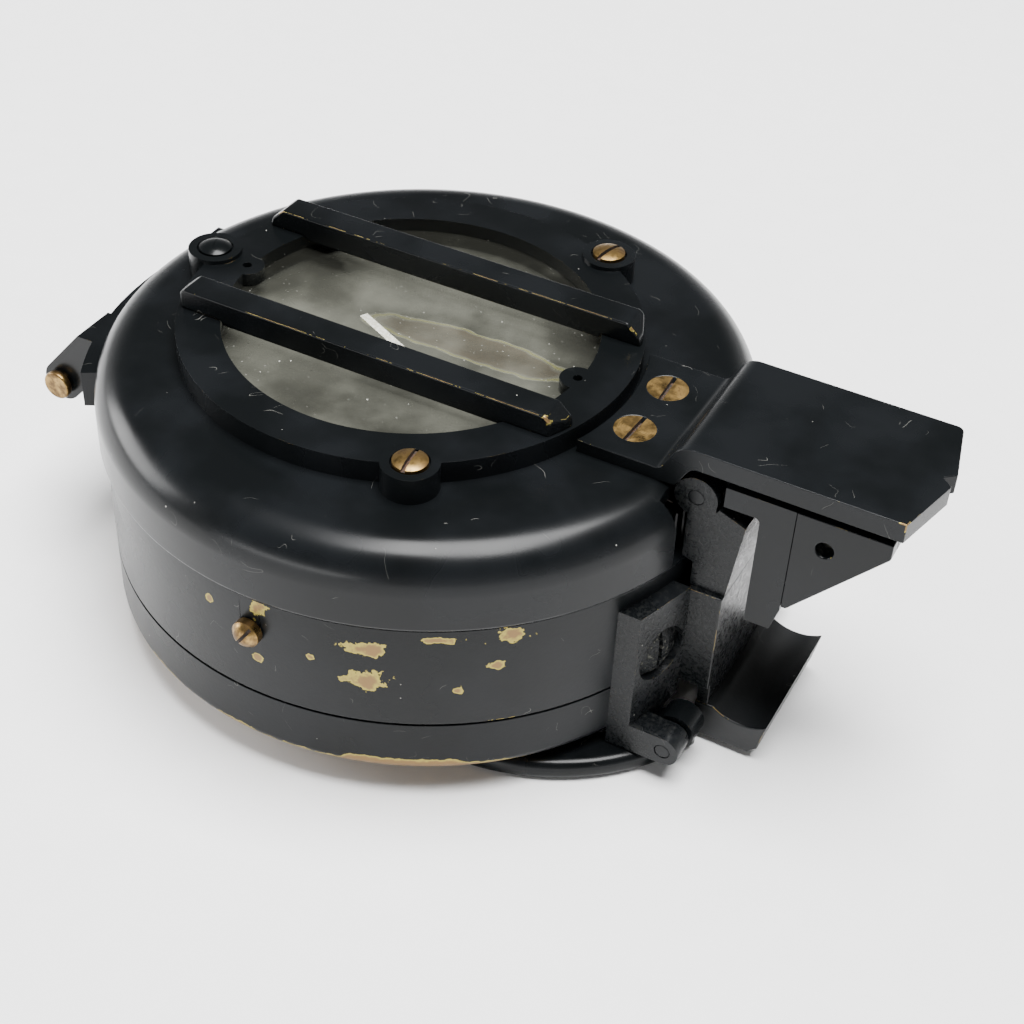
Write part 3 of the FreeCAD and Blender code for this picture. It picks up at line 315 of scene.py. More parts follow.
def stove_enamel(name, wear=None, gloss=0.24, grit=0.0, shine=0.18, crust=0.0):
    """Black stoving enamel sprayed on brass and baked.

    To the eye: near black and half glossy, with a very soft orange-peel, dull where it
    is handled, pale specks of dust, and old brass with a fresher rim where it has chipped.
    """
    material, tree, shader, where = new_finish(name, Specular_IOR_Level=shine)
    handled = put(tree, "ShaderNodeTexNoise", {"Vector": where, "Scale": per_mm(9.0), "Detail": 3.0})
    peel = put(tree, "ShaderNodeTexNoise", {"Vector": where, "Scale": per_mm(0.55), "Detail": 2.0})
    body = put(tree, "ShaderNodeMix", {
        "Factor": put(tree, "ShaderNodeMapRange", {"Value": handled, "From Min": 0.38, "From Max": 0.66},
            interpolation_type="SMOOTHSTEP"), COLOUR_A: colour("enamel"), COLOUR_B: colour("enamel_thin")},
        data_type="RGBA")
    rough = put(tree, "ShaderNodeMapRange", {
        "Value": handled, "From Min": 0.3, "From Max": 0.7, "To Min": gloss - 0.02,
        "To Max": gloss + 0.05}, interpolation_type="SMOOTHSTEP")
    specks = put(tree, "ShaderNodeMath", {
        0: dust(tree, where),
        1: put(tree, "ShaderNodeMath", {0: scratches(tree, where), 1: 0.2}, operation="MULTIPLY")},
        operation="MAXIMUM")
    body = put(tree, "ShaderNodeMix", {"Factor": specks, COLOUR_A: body, COLOUR_B: shade("#b9b8b0")},
        data_type="RGBA")
    height = put(tree, "ShaderNodeMath", {
        0: put(tree, "ShaderNodeMath", {0: peel, 1: 0.1}, operation="MULTIPLY"), 1: specks},
        operation="ADD")
    if grit:
        crumb = put(tree, "ShaderNodeTexNoise", {"Vector": where, "Scale": per_mm(0.45), "Detail": 4.0,
                                                 "Roughness": 0.7})
        height = put(tree, "ShaderNodeMath", {
            0: height, 1: put(tree, "ShaderNodeMath", {0: crumb, 1: grit}, operation="MULTIPLY")},
            operation="ADD")
        body = put(tree, "ShaderNodeMix", {
            "Factor": put(tree, "ShaderNodeMapRange", {
                "Value": crumb, "From Min": 0.54, "From Max": 0.66, "To Max": crust},
                interpolation_type="SMOOTHSTEP"), COLOUR_A: body, COLOUR_B: shade("#5c5c54")},
            data_type="RGBA")
        rough = put(tree, "ShaderNodeMath", {
            0: rough,
            1: put(tree, "ShaderNodeMapRange", {
                "Value": crumb, "From Min": 0.45, "From Max": 0.55, "To Min": -crust, "To Max": crust},
                interpolation_type="SMOOTHSTEP")}, operation="ADD")
    if wear:
        bare = wear(tree, where)
        metal = put(tree, "ShaderNodeMapRange", {"Value": bare, "From Min": 0.0, "From Max": 0.12},
            interpolation_type="SMOOTHSTEP")
        core = put(tree, "ShaderNodeMix", {
            "Factor": put(tree, "ShaderNodeMapRange", {"Value": bare, "From Min": 0.15, "From Max": 0.7},
                interpolation_type="SMOOTHSTEP"), COLOUR_A: colour("brass_rim"),
            COLOUR_B: colour("brass_dull")}, data_type="RGBA")
        body = put(tree, "ShaderNodeMix", {"Factor": metal, COLOUR_A: body, COLOUR_B: core},
            data_type="RGBA")
        rough = put(tree, "ShaderNodeMath", {
            0: rough, 1: put(tree, "ShaderNodeMath", {0: metal, 1: 0.12}, operation="MULTIPLY")},
            operation="ADD")
        height = put(tree, "ShaderNodeMath", {
            0: height, 1: put(tree, "ShaderNodeMath", {0: metal, 1: 0.8}, operation="MULTIPLY")},
            operation="SUBTRACT")
        feed(shader, {"Metallic": put(tree, "ShaderNodeMath", {0: metal, 1: 0.75}, operation="MULTIPLY")})
    bump = put(tree, "ShaderNodeBump", {"Strength": 0.35, "Distance": 0.03 * MM, "Height": height})
    feed(shader, {"Base Color": body, "Roughness": rough, "Normal": bump})
    return material


def turned_brass(name, tarnish=0.3, centre=None, mirrored=False):
    """Turned brass, unlacquered.

    To the eye: warm yellow metal with fine lathe rings that fan the light, and brown
    tarnish and dirt in patches.
    """
    material, tree, shader, where = new_finish(name, Metallic=1.0)
    patch = put(tree, "ShaderNodeTexNoise", {"Vector": where, "Scale": per_mm(1.3), "Detail": 4.0,
                                             "Roughness": 0.65})
    dirty = put(tree, "ShaderNodeMapRange", {
        "Value": patch, "From Min": 0.62 - 0.3 * tarnish, "From Max": 0.74 - 0.15 * tarnish},
        interpolation_type="SMOOTHSTEP")
    body = put(tree, "ShaderNodeMix", {
        "Factor": dirty, COLOUR_A: colour("brass"), COLOUR_B: shade("#5d4930")}, data_type="RGBA")
    rough = put(tree, "ShaderNodeMapRange", {
        "Value": patch, "From Min": 0.3, "From Max": 0.7, "To Min": 0.26, "To Max": 0.5},
        interpolation_type="SMOOTHSTEP")
    height = patch
    if centre is not None:
        spot = where
        if mirrored:
            part = put(tree, "ShaderNodeSeparateXYZ", {"Vector": where})
            spot = put(tree, "ShaderNodeCombineXYZ", {
                "X": part.outputs["X"],
                "Y": put(tree, "ShaderNodeMath", {0: part.outputs["Y"]}, operation="ABSOLUTE"),
                "Z": part.outputs["Z"]})
        local = put(tree, "ShaderNodeMapping", {"Vector": spot, "Location": [-c * MM for c in centre]})
        rings = put(tree, "ShaderNodeTexWave", {"Vector": local, "Scale": per_mm(0.7), "Distortion": 0.2},
            wave_type="RINGS", rings_direction="Z")
        height = put(tree, "ShaderNodeMath", {0: height, 1: rings.outputs["Fac"]}, operation="ADD")
    bump = put(tree, "ShaderNodeBump", {"Strength": 0.3, "Distance": 0.02 * MM, "Height": height})
    feed(shader, {"Base Color": body, "Roughness": rough, "Normal": bump})
    return material


def mother_of_pearl():
    """Mother-of-pearl, sawn thin and polished.

    To the eye: pale grey-green clouds and drifting growth bands with a soft inner
    sheen that shifts from rose to green. Painted shade darkens it in mottled specks
    towards the rim, and a painted shadow lies at the far rim beside the lid's hinge.
    """
    material, tree, shader, where = new_finish("mother_of_pearl_polished", Roughness=0.34, Coat_Weight=0.4,
                                               Coat_Roughness=0.12, Sheen_Weight=0.1)
    drift = put(tree, "ShaderNodeMapping", {
        "Vector": where, "Rotation": (0, 0, 0.35), "Scale": (0.45, 1.3, 1)})
    cloud = put(tree, "ShaderNodeTexNoise", {
        "Vector": drift, "Scale": per_mm(7.0), "Detail": 5.0, "Roughness": 0.62, "Distortion": 1.2})
    fine = put(tree, "ShaderNodeTexNoise", {"Vector": where, "Scale": per_mm(0.9), "Detail": 4.0,
                                            "Roughness": 0.7})
    body = put(tree, "ShaderNodeMix", {
        "Factor": put(tree, "ShaderNodeMapRange", {"Value": cloud, "From Min": 0.42, "From Max": 0.57},
            interpolation_type="SMOOTHSTEP"), COLOUR_A: colour("pearl_cloud"), COLOUR_B: colour("pearl")},
        data_type="RGBA")
    hue = put(tree, "ShaderNodeTexNoise", {"Vector": where, "Scale": per_mm(9.0), "Detail": 2.0,
                                           "Distortion": 0.8})
    body = put(tree, "ShaderNodeMix", {
        "Factor": put(tree, "ShaderNodeMapRange", {
            "Value": hue, "From Min": 0.48, "From Max": 0.6, "To Max": 0.8},
            interpolation_type="SMOOTHSTEP"), COLOUR_A: body, COLOUR_B: shade("#9c8d6e")},
        data_type="RGBA")
    body = put(tree, "ShaderNodeMix", {
        "Factor": put(tree, "ShaderNodeMapRange", {
            "Value": hue, "From Min": 0.47, "From Max": 0.37, "To Max": 0.7},
            interpolation_type="SMOOTHSTEP"), COLOUR_A: body, COLOUR_B: shade("#8f9c86")},
        data_type="RGBA")
    body = put(tree, "ShaderNodeMix", {
        "Factor": put(tree, "ShaderNodeMapRange", {
            "Value": fine, "From Min": 0.54, "From Max": 0.64, "To Max": 0.6},
            interpolation_type="SMOOTHSTEP"), COLOUR_A: body, COLOUR_B: shade("#45463f")},
        data_type="RGBA")
    # Painted shade: the dial darkens in mottled specks towards its rim, where the bezel's wall shades it.
    radius = put(tree, "ShaderNodeVectorMath", {
        0: put(tree, "ShaderNodeMapping", {"Vector": where, "Scale": (1, 1, 0)})}, operation="LENGTH")
    rim_shade = put(tree, "ShaderNodeMath", {
        0: put(tree, "ShaderNodeMapRange", {
            "Value": radius, "From Min": 15.0 * MM, "From Max": 23.5 * MM},
            interpolation_type="SMOOTHSTEP"),
        1: put(tree, "ShaderNodeMapRange", {"Value": fine, "From Min": 0.4, "From Max": 0.62},
            interpolation_type="SMOOTHSTEP")}, operation="MULTIPLY")
    body = put(tree, "ShaderNodeMix", {
        "Factor": put(tree, "ShaderNodeMath", {0: rim_shade, 1: 0.75}, operation="MULTIPLY"), COLOUR_A: body,
        COLOUR_B: shade("#3c3a33")}, data_type="RGBA")
    # Painted shadow: a mottled brown-black patch at the dial's far rim beside the lid's hinge, where the
    # bezel shades it.
    local = put(tree, "ShaderNodeMapping", {
        "Vector": where, "Location": (-19.0 * MM, 11.0 * MM, DIAL_TOP * MM), "Rotation": (0, 0, -0.3),
        "Scale": (13 * MM, 9 * MM, 9 * MM)}, vector_type="TEXTURE")
    reach = put(tree, "ShaderNodeVectorMath", {0: local}, operation="LENGTH")
    mottle = put(tree, "ShaderNodeTexNoise", {"Vector": where, "Scale": per_mm(1.8), "Detail": 4.0,
                                              "Roughness": 0.7})
    shadow_reach = put(tree, "ShaderNodeMath", {
        0: reach,
        1: put(tree, "ShaderNodeMath", {
            0: put(tree, "ShaderNodeMath", {0: mottle, 1: 0.5}, operation="SUBTRACT"), 1: 2.2},
            operation="MULTIPLY")}, operation="ADD")
    body = put(tree, "ShaderNodeMix", {
        "Factor": put(tree, "ShaderNodeMapRange", {
            "Value": shadow_reach, "From Min": 1.2, "From Max": 0.6, "To Max": 0.9},
            interpolation_type="SMOOTHSTEP"), COLOUR_A: body, COLOUR_B: shade("#1f1d18")},
        data_type="RGBA")
    feed(shader, {"Base Color": body})
    bump = put(tree, "ShaderNodeBump", {"Strength": 0.1, "Distance": 0.05 * MM, "Height": cloud})
    feed(shader, {"Normal": bump})
    return material


def old_glass(name, film=0.1, specks=0.4, stain=None, thin=True):
    """Ground and polished plate glass, decades old.

    To the eye: clear, with a faint grey film, pin-sharp reflections, bright specks of
    dust and a few dark seeds. Drawn as a thin see-through film, so that light reaches
    the dial through the three panes. The film thickens towards grazing angles as a
    painted reflection.
    """
    material, tree, shader, where = new_finish(name, IOR=1.52, Roughness=0.06, Specular_IOR_Level=1.0)
    haze = put(tree, "ShaderNodeTexNoise", {"Vector": where, "Scale": per_mm(8.0), "Detail": 5.0,
                                            "Roughness": 0.5})
    cell = put(tree, "ShaderNodeTexVoronoi", {"Vector": where, "Scale": per_mm(0.6)})
    lot = put(tree, "ShaderNodeSeparateColor", {"Color": cell.outputs["Color"]})
    size = put(tree, "ShaderNodeMath", {0: lot.outputs[1], 1: 0.15}, operation="MULTIPLY")
    drifts = put(tree, "ShaderNodeTexNoise", {"Vector": where, "Scale": per_mm(3.5), "Detail": 2.0})
    share = put(tree, "ShaderNodeMapRange", {
        "Value": drifts, "From Min": 0.42, "From Max": 0.62, "To Min": 0.2 * specks,
        "To Max": 1.8 * specks}, interpolation_type="SMOOTHSTEP")
    speck = put(tree, "ShaderNodeMath", {
        0: put(tree, "ShaderNodeMath", {0: cell, 1: size}, operation="LESS_THAN"),
        1: put(tree, "ShaderNodeMath", {0: lot.outputs[0], 1: share}, operation="LESS_THAN")},
        operation="MULTIPLY")
    veil = put(tree, "ShaderNodeMapRange", {
        "Value": haze, "From Min": 0.42, "From Max": 0.66, "To Min": film * 0.3, "To Max": film * 2.0},
        interpolation_type="SMOOTHSTEP")
    # Painted reflection: the pale film covers more of the glass at grazing angles.
    facing = put(tree, "ShaderNodeLayerWeight", {"Blend": 0.12}).outputs["Fresnel"]
    outer = put(tree, "ShaderNodeSeparateXYZ", {"Vector": put(
        tree, "ShaderNodeTexCoord").outputs["Normal"]}).outputs["Z"]
    outer = put(tree, "ShaderNodeMapRange", {
        "Value": outer, "From Min": 0.2, "From Max": 0.6, "To Min": 0.15 if thin else 1.0},
        interpolation_type="SMOOTHSTEP")
    alpha = put(tree, "ShaderNodeMath", {
        0: outer,
        1: put(tree, "ShaderNodeMath", {
            0: veil, 1: put(tree, "ShaderNodeMath", {0: facing, 1: 0.5}, operation="MULTIPLY")},
            operation="ADD")}, operation="MULTIPLY")
    tint = colour("glass_haze_and_sheen")
    if stain:
        tint, alpha = stain(tree, where, tint, alpha)
    tone = put(tree, "ShaderNodeMix", {
        "Factor": speck, COLOUR_A: tint,
        COLOUR_B: put(tree, "ShaderNodeMix", {
            "Factor": lot.outputs[2], COLOUR_A: shade("#2c2b27"), COLOUR_B: shade("#e6e5dc")},
            data_type="RGBA")}, data_type="RGBA")
    alpha = put(tree, "ShaderNodeMath", {
        0: alpha,
        1: put(tree, "ShaderNodeMath", {
            0: put(tree, "ShaderNodeMath", {0: speck, 1: outer}, operation="MULTIPLY"), 1: 0.85},
            operation="MULTIPLY")}, operation="MAXIMUM")
    feed(shader, {"Base Color": tone, "Alpha": alpha})
    return material


def trapped_bubble(tree, where, tint, alpha):
    """A long flat bubble under the glass: brown inside, with a yellow-green rim."""
    local = put(tree, "ShaderNodeMapping", {
        "Vector": where, "Location": (0.2 * MM, 8.3 * MM, 20.3 * MM), "Rotation": (0, 0, 0.05),
        "Scale": (10.5 * MM, 2.2 * MM, 4 * MM)}, vector_type="TEXTURE")
    wander = put(tree, "ShaderNodeTexNoise", {"Vector": where, "Scale": per_mm(4.0), "Detail": 2.0})
    reach = put(tree, "ShaderNodeVectorMath", {0: local}, operation="LENGTH")
    reach = put(tree, "ShaderNodeMath", {
        0: reach,
        1: put(tree, "ShaderNodeMath", {
            0: put(tree, "ShaderNodeMath", {0: wander, 1: 0.5}, operation="SUBTRACT"), 1: 0.7},
            operation="MULTIPLY")}, operation="ADD")
    inside = put(tree, "ShaderNodeMapRange", {"Value": reach, "From Min": 1.0, "From Max": 0.86},
        interpolation_type="SMOOTHSTEP")
    rim = put(tree, "ShaderNodeMath", {
        0: put(tree, "ShaderNodeMapRange", {"Value": reach, "From Min": 0.9, "From Max": 1.0},
            interpolation_type="SMOOTHSTEP"),
        1: put(tree, "ShaderNodeMapRange", {"Value": reach, "From Min": 1.14, "From Max": 1.02},
            interpolation_type="SMOOTHSTEP")}, operation="MULTIPLY")
    tint = put(tree, "ShaderNodeMix", {"Factor": inside, COLOUR_A: tint, COLOUR_B: shade("#463824")},
        data_type="RGBA")
    tint = put(tree, "ShaderNodeMix", {"Factor": rim, COLOUR_A: tint, COLOUR_B: shade("#6e6c34")},
        data_type="RGBA")
    return tint, put(tree, "ShaderNodeMath", {
        0: alpha,
        1: put(tree, "ShaderNodeMath", {
            0: put(tree, "ShaderNodeMath", {
                0: put(tree, "ShaderNodeMath", {0: inside, 1: 0.75}, operation="MULTIPLY"), 1: rim},
                operation="MAXIMUM"), 1: 0.9}, operation="MULTIPLY")}, operation="MAXIMUM")


def white_paint(name):
    """Old luminous paint: off-white, matt, faintly grainy."""
    material, tree, shader, where = new_finish(name, Roughness=0.7)
    grit = put(tree, "ShaderNodeTexNoise", {"Vector": where, "Scale": per_mm(0.3), "Detail": 3.0})
    feed(shader, {
        "Base Color": put(tree, "ShaderNodeMix", {
            "Factor": put(tree, "ShaderNodeMapRange", {"Value": grit, "From Min": 0.35, "From Max": 0.65},
                interpolation_type="SMOOTHSTEP"), COLOUR_A: shade("#b9b6a4"),
            COLOUR_B: colour("paint_white")}, data_type="RGBA")})
    bump = put(tree, "ShaderNodeBump", {"Strength": 0.3, "Distance": 0.03 * MM, "Height": grit})
    feed(shader, {"Normal": bump})
    return material


def nickel_silver(name):
    """Nickel silver, fine turned: pale warm grey metal, slightly dull with age."""
    material, tree, shader, where = new_finish(name, Metallic=1.0)
    patch = put(tree, "ShaderNodeTexNoise", {"Vector": where, "Scale": per_mm(2.0), "Detail": 4.0})
    feed(shader, {
        "Base Color": put(tree, "ShaderNodeMix", {
            "Factor": put(tree, "ShaderNodeMapRange", {"Value": patch, "From Min": 0.4, "From Max": 0.7},
                interpolation_type="SMOOTHSTEP"), COLOUR_A: shade("#a7a297"), COLOUR_B: shade("#716a5c")},
            data_type="RGBA"),
        "Roughness": put(tree, "ShaderNodeMapRange", {
            "Value": patch, "From Min": 0.3, "From Max": 0.7, "To Min": 0.28, "To Max": 0.45},
            interpolation_type="SMOOTHSTEP")})
    return material


def ground_steel(name):
    """Ground magnet steel: blue-grey, with close straight grinding lines along X."""
    material, tree, shader, where = new_finish(name, Metallic=1.0, Roughness=0.4)
    lines = put(tree, "ShaderNodeMapping", {"Vector": where, "Scale": (0.04, 1, 1)})
    grind = put(tree, "ShaderNodeTexNoise", {"Vector": lines, "Scale": per_mm(0.2), "Detail": 3.0})
    feed(shader, {
        "Base Color": put(tree, "ShaderNodeMix", {
            "Factor": grind, COLOUR_A: shade("#5b5f66"), COLOUR_B: shade("#83878c")}, data_type="RGBA")})
    return material


def gasket_rubber(name):
    """Moulded gasket rubber: black and matt, faintly bloomed."""
    material, tree, shader, where = new_finish(name, Roughness=0.82)
    bloom = put(tree, "ShaderNodeTexNoise", {"Vector": where, "Scale": per_mm(1.5), "Detail": 4.0})
    feed(shader, {
        "Base Color": put(tree, "ShaderNodeMix", {
            "Factor": bloom, COLOUR_A: shade("#151515"), COLOUR_B: shade("#2a2a28")}, data_type="RGBA")})
    return material


def sapphire(name):
    """Ground jewel: a small, clear, slightly violet cup."""
    material, tree, shader, where = new_finish(name, Roughness=0.08, IOR=1.77, Transmission_Weight=0.6)
    depth = put(tree, "ShaderNodeTexNoise", {"Vector": where, "Scale": per_mm(1.0)})
    feed(shader, {
        "Base Color": put(tree, "ShaderNodeMix", {
            "Factor": depth, COLOUR_A: shade("#b9a6c8"), COLOUR_B: shade("#8f7fb0")}, data_type="RGBA")})
    return material


def dial_ink(name):
    """Black ink printed on the pearl: matt, thin and slightly worn."""
    material, tree, shader, where = new_finish(name, Roughness=0.6)
    worn = put(tree, "ShaderNodeTexNoise", {"Vector": where, "Scale": per_mm(0.7), "Detail": 3.0})
    feed(shader, {
        "Base Color": put(tree, "ShaderNodeMix", {
            "Factor": put(tree, "ShaderNodeMapRange", {"Value": worn, "From Min": 0.5, "From Max": 0.7},
                interpolation_type="SMOOTHSTEP"), COLOUR_A: shade("#1d1c1a"), COLOUR_B: shade("#4d4b45")},
            data_type="RGBA")})
    return material


def dried_dirt(name):
    """Old oil and dirt packed in the screw slots: dark brown, matt and crumbly."""
    material, tree, shader, where = new_finish(name, Roughness=0.8)
    crumb = put(tree, "ShaderNodeTexNoise", {"Vector": where, "Scale": per_mm(0.25), "Detail": 3.0})
    feed(shader, {
        "Base Color": put(tree, "ShaderNodeMix", {
            "Factor": put(tree, "ShaderNodeMapRange", {"Value": crumb, "From Min": 0.4, "From Max": 0.7},
                interpolation_type="SMOOTHSTEP"), COLOUR_A: shade("#17110b"), COLOUR_B: shade("#4a2f1c")},
            data_type="RGBA")})
    return material


FINISHES = {}


def finish(name):
    """A finish by name, made once."""
    makers = {
        "enamel": lambda: stove_enamel("stove_enamel_black"),
        "enamel_case": lambda: stove_enamel(
            "stove_enamel_chipped_wall", wall_chips, gloss=0.28, grit=1.2, shine=0.15),
        "enamel_foot": lambda: stove_enamel(
            "stove_enamel_worn_foot", foot_wear, gloss=0.28, grit=1.0, shine=0.13),
        "gritty": lambda: stove_enamel(
            "stove_enamel_gritty", gloss=0.3, grit=4.0, shine=0.2, crust=0.06),
        "handled": lambda: stove_enamel(
            "stove_enamel_handled", gloss=0.4, grit=2.0, shine=0.35),
        "gritty_edge": lambda: stove_enamel(
            "stove_enamel_gritty_edge", edge_rub(0.4), gloss=0.3, grit=2.0, shine=0.22),
        "grime": lambda: stove_enamel("greasy_grime", gloss=0.2, grit=14.0, shine=0.12, crust=0.7),
        "edge": lambda: stove_enamel("stove_enamel_edge", edge_rub(0.05)),
        "edge_bar": lambda: stove_enamel(
            "stove_enamel_edge_rubbed", edge_rub(0.45, ((17.4, -9.9, 29.7), (17.9, 6.9, 29.7)))),
        "edge_tongue": lambda: stove_enamel(
            "stove_enamel_edge_tongue", edge_rub(0.1, ((49.3, -7.6, 29.9),))),
        "brass": lambda: turned_brass("brass_turned_aged", tarnish=0.6),
        "brass_sunk": lambda: turned_brass(
            "brass_turned_bright", tarnish=0.0, centre=(23.1, 3.55, 26.9), mirrored=True),
        "brass_worn": lambda: turned_brass("brass_worn_dull", tarnish=0.9),
        "pearl": mother_of_pearl,
        "lid_glass": lambda: old_glass("plate_glass_lid", film=0.05, specks=0.45),
        "bezel_glass": lambda: old_glass("plate_glass_bezel", film=0.02, specks=0.05),
        "capsule_glass": lambda: old_glass(
            "plate_glass_capsule", film=0.02, specks=0.25, stain=trapped_bubble),
        "prism_glass": lambda: old_glass("crown_glass_prism", film=0.5, specks=0.05, thin=False),
        "white": lambda: white_paint("luminous_paint_old"),
        "nickel": lambda: nickel_silver("nickel_silver_turned"),
        "steel": lambda: ground_steel("magnet_steel_ground"),
        "rubber": lambda: gasket_rubber("gasket_rubber_moulded"),
        "sapphire": lambda: sapphire("sapphire_ground"),
        "ink": lambda: dial_ink("printing_ink_black"),
        "slot_dirt": lambda: dried_dirt("dried_oil_and_dirt"),
    }
    if name not in FINISHES:
        FINISHES[name] = makers[name]()
    return FINISHES[name]


# ------------------------------------------------------------ shape helpers
SMOOTH_LIMIT = math.radians(35)


def wrap(mesh_data, name, finishes):
    """An object for a mesh or a bmesh in millimetres, with its finishes."""
    if isinstance(mesh_data, bmesh.types.BMesh):
        bmesh.ops.remove_doubles(mesh_data, verts=mesh_data.verts, dist=1e-4)
        bmesh.ops.recalc_face_normals(mesh_data, faces=mesh_data.faces)
        bmesh.ops.scale(mesh_data, vec=(MM, MM, MM), verts=mesh_data.verts)
        mesh = bpy.data.meshes.new(name)
        mesh_data.to_mesh(mesh)
        mesh_data.free()
    else:
        mesh = mesh_data
    mesh.materials.clear()
    for item in finishes:
        mesh.materials.append(finish(item))
    piece = bpy.data.objects.new(name, mesh)
    bpy.context.scene.collection.objects.link(piece)
    return piece


def settle(piece):
    """Turn the modifiers into the piece's own mesh."""
    evaluated = piece.evaluated_get(bpy.context.evaluated_depsgraph_get())
    mesh = bpy.data.meshes.new_from_object(evaluated, preserve_all_data_layers=True,
                                           depsgraph=bpy.context.evaluated_depsgraph_get())
    piece.modifiers.clear()
    old = piece.data
    piece.data = mesh
    bpy.data.meshes.remove(old)
    mesh.name = piece.name
    return piece


def carve(piece, *cutters):
    """Cut the cutters out of the piece and drop them."""
    for cutter in cutters:
        cut = piece.modifiers.new("cut", "BOOLEAN")
        cut.object = cutter
        cut.operation = "DIFFERENCE"
        cut.solver = "EXACT"
    settle(piece)
    for cutter in cutters:
        mesh = cutter.data
        bpy.data.objects.remove(cutter)
        bpy.data.meshes.remove(mesh)
    return piece


def break_edges(piece, width, segments=3, limit=35):
    """Break sharp edges by width mm; the broken faces take the second finish."""
    if width > 0:
        bevel = piece.modifiers.new("break", "BEVEL")
        bevel.width = width * MM
        bevel.segments = segments
        bevel.limit_method = "ANGLE"
        bevel.angle_limit = math.radians(limit)
        bevel.use_clamp_overlap = True
        bevel.material = 1 if len(piece.data.materials) > 1 else 0
        bevel.miter_outer = "MITER_ARC"
        settle(piece)
    mesh = piece.data
    mesh.shade_smooth()
    mesh.set_sharp_from_angle(angle=SMOOTH_LIMIT)
    weigh = piece.modifiers.new("normals", "WEIGHTED_NORMAL")
    weigh.keep_sharp = True
    weigh.weight = 50
    return settle(piece)


def deliver(piece, body, slot, *nodes):
    """Hand a finished piece to the frame."""
    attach(piece, body)
    if nodes:
        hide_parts(*nodes)
    return piece


def turned(name, outline, finishes, centre=(0.0, 0.0), steps=192):
    """A closed ring or disc turned from (radius, height) points in mm."""
    form = bmesh.new()
    rings = []
    for radius, height in outline:
        if radius < 1e-6:
            rings.append([form.verts.new((centre[0], centre[1], height))] * steps)
            continue
        rings.append([form.verts.new((centre[0] + radius * math.cos(TURN * i / steps),
                                      centre[1] + radius * math.sin(TURN * i / steps), height))
                      for i in range(steps)])
    closed = outline[0][0] > 1e-6 or outline[-1][0] > 1e-6
    pairs = len(rings) if closed else len(rings) - 1
    for k in range(pairs):
        here, there = rings[k], rings[(k + 1) % len(rings)]
        for i in range(steps):
            j = (i + 1) % steps
            corners = []
            for vert in (here[i], here[j], there[j], there[i]):
                if vert not in corners:
                    corners.append(vert)
            if len(corners) > 2:
                form.faces.new(corners)
    return wrap(form, name, finishes)


def arc(centre, radius, start, end, steps=8):
    """Points of an arc from start to end degrees."""
    return [(centre[0] + radius * math.cos(math.radians(start + (end - start) * i / steps)),
             centre[1] + radius * math.sin(math.radians(start + (end - start) * i / steps)))
            for i in range(steps + 1)]


def rod(name, radius, low, high, centre=(0, 0, 0), turn=None, steps=48):
    """A plain cylinder along Z from low to high, turned and moved to centre; a cutter."""
    form = bmesh.new()
    bmesh.ops.create_cone(form, cap_ends=True, segments=steps, radius1=radius, radius2=radius,
                          depth=high - low,
                          matrix=Matrix.Translation(Vector(centre)) @ (turn or Matrix.Identity(4))
                          @ Matrix.Translation((0, 0, (low + high) / 2)))
    return wrap(form, name, ["enamel"])


def block(name, low, high, finishes=("enamel",)):
    """A box between two corners in mm; a cutter or a blank."""
    form = bmesh.new()
    size = [h - l for l, h in zip(low, high)]
    middle = [(l + h) / 2 for l, h in zip(low, high)]
    bmesh.ops.create_cube(form, size=1.0, matrix=Matrix.Translation(middle) @ Matrix.Diagonal((*size, 1)))
    return wrap(form, name, finishes)


def milled(name, node, finishes, width, segments=3, limit=35, corner=None):
    """A milled part: its frame shape, merged, with every sharp edge broken.

    corner, as (test, radius), first rounds the upright edges whose middle passes the test.
    """
    form = bmesh.new()
    form.from_mesh(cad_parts[node].data)
    bmesh.ops.remove_doubles(form, verts=form.verts, dist=0.002 * MM)
    bmesh.ops.dissolve_limit(form, angle_limit=math.radians(0.4), verts=form.verts, edges=form.edges)
    bmesh.ops.scale(form, vec=(1 / MM,) * 3, verts=form.verts)
    if corner:
        test, radius = corner
        upright = [edge for edge in form.edges if edge.calc_length() > 0.8
                   and abs((edge.verts[0].co - edge.verts[1].co).normalized().z) > 0.999
                   and test((edge.verts[0].co + edge.verts[1].co) / 2)]
        bmesh.ops.bevel(form, geom=upright, offset=radius, segments=6, profile=0.5, affect="EDGES")
    return break_edges(wrap(form, name, finishes), width, segments, limit)


def run_nodes(name, tree, finishes, seats, values):
    """Run a node tree on a cloud of seats (place, turn) in mm and give the plain mesh piece."""
    mesh = bpy.data.meshes.new(name)
    mesh.from_pydata([Vector(place) * MM for place, _ in seats], [], [])
    turns = mesh.attributes.new("seat_turn", "FLOAT_VECTOR", "POINT")
    for datum, (_, turn) in zip(turns.data, seats):
        datum.vector = turn
    piece = wrap(mesh, name, finishes)
    modifier = piece.modifiers.new("build", "NODES")
    modifier.node_group = tree
    sockets = {item.name: item.identifier for item in tree.interface.items_tree if item.in_out == "INPUT"}
    for key, value in values.items():
        modifier[sockets[key]] = value
    settle(piece)
    return piece


def new_tree(name, **inputs):
    """An empty geometry tree with named inputs; gives tree, input node and output node."""
    tree = bpy.data.node_groups.new(name, "GeometryNodeTree")
    tree.interface.new_socket("Geometry", in_out="INPUT", socket_type="NodeSocketGeometry")
    for key, value in inputs.items():
        kind = {int: "NodeSocketInt", float: "NodeSocketFloat"}.get(type(value), "NodeSocketMaterial")
        socket = tree.interface.new_socket(key.replace("_", " "), in_out="INPUT", socket_type=kind)
        socket.default_value = value
    tree.interface.new_socket("Geometry", in_out="OUTPUT", socket_type="NodeSocketGeometry")
    return tree, put(tree, "NodeGroupInput"), put(tree, "NodeGroupOutput")


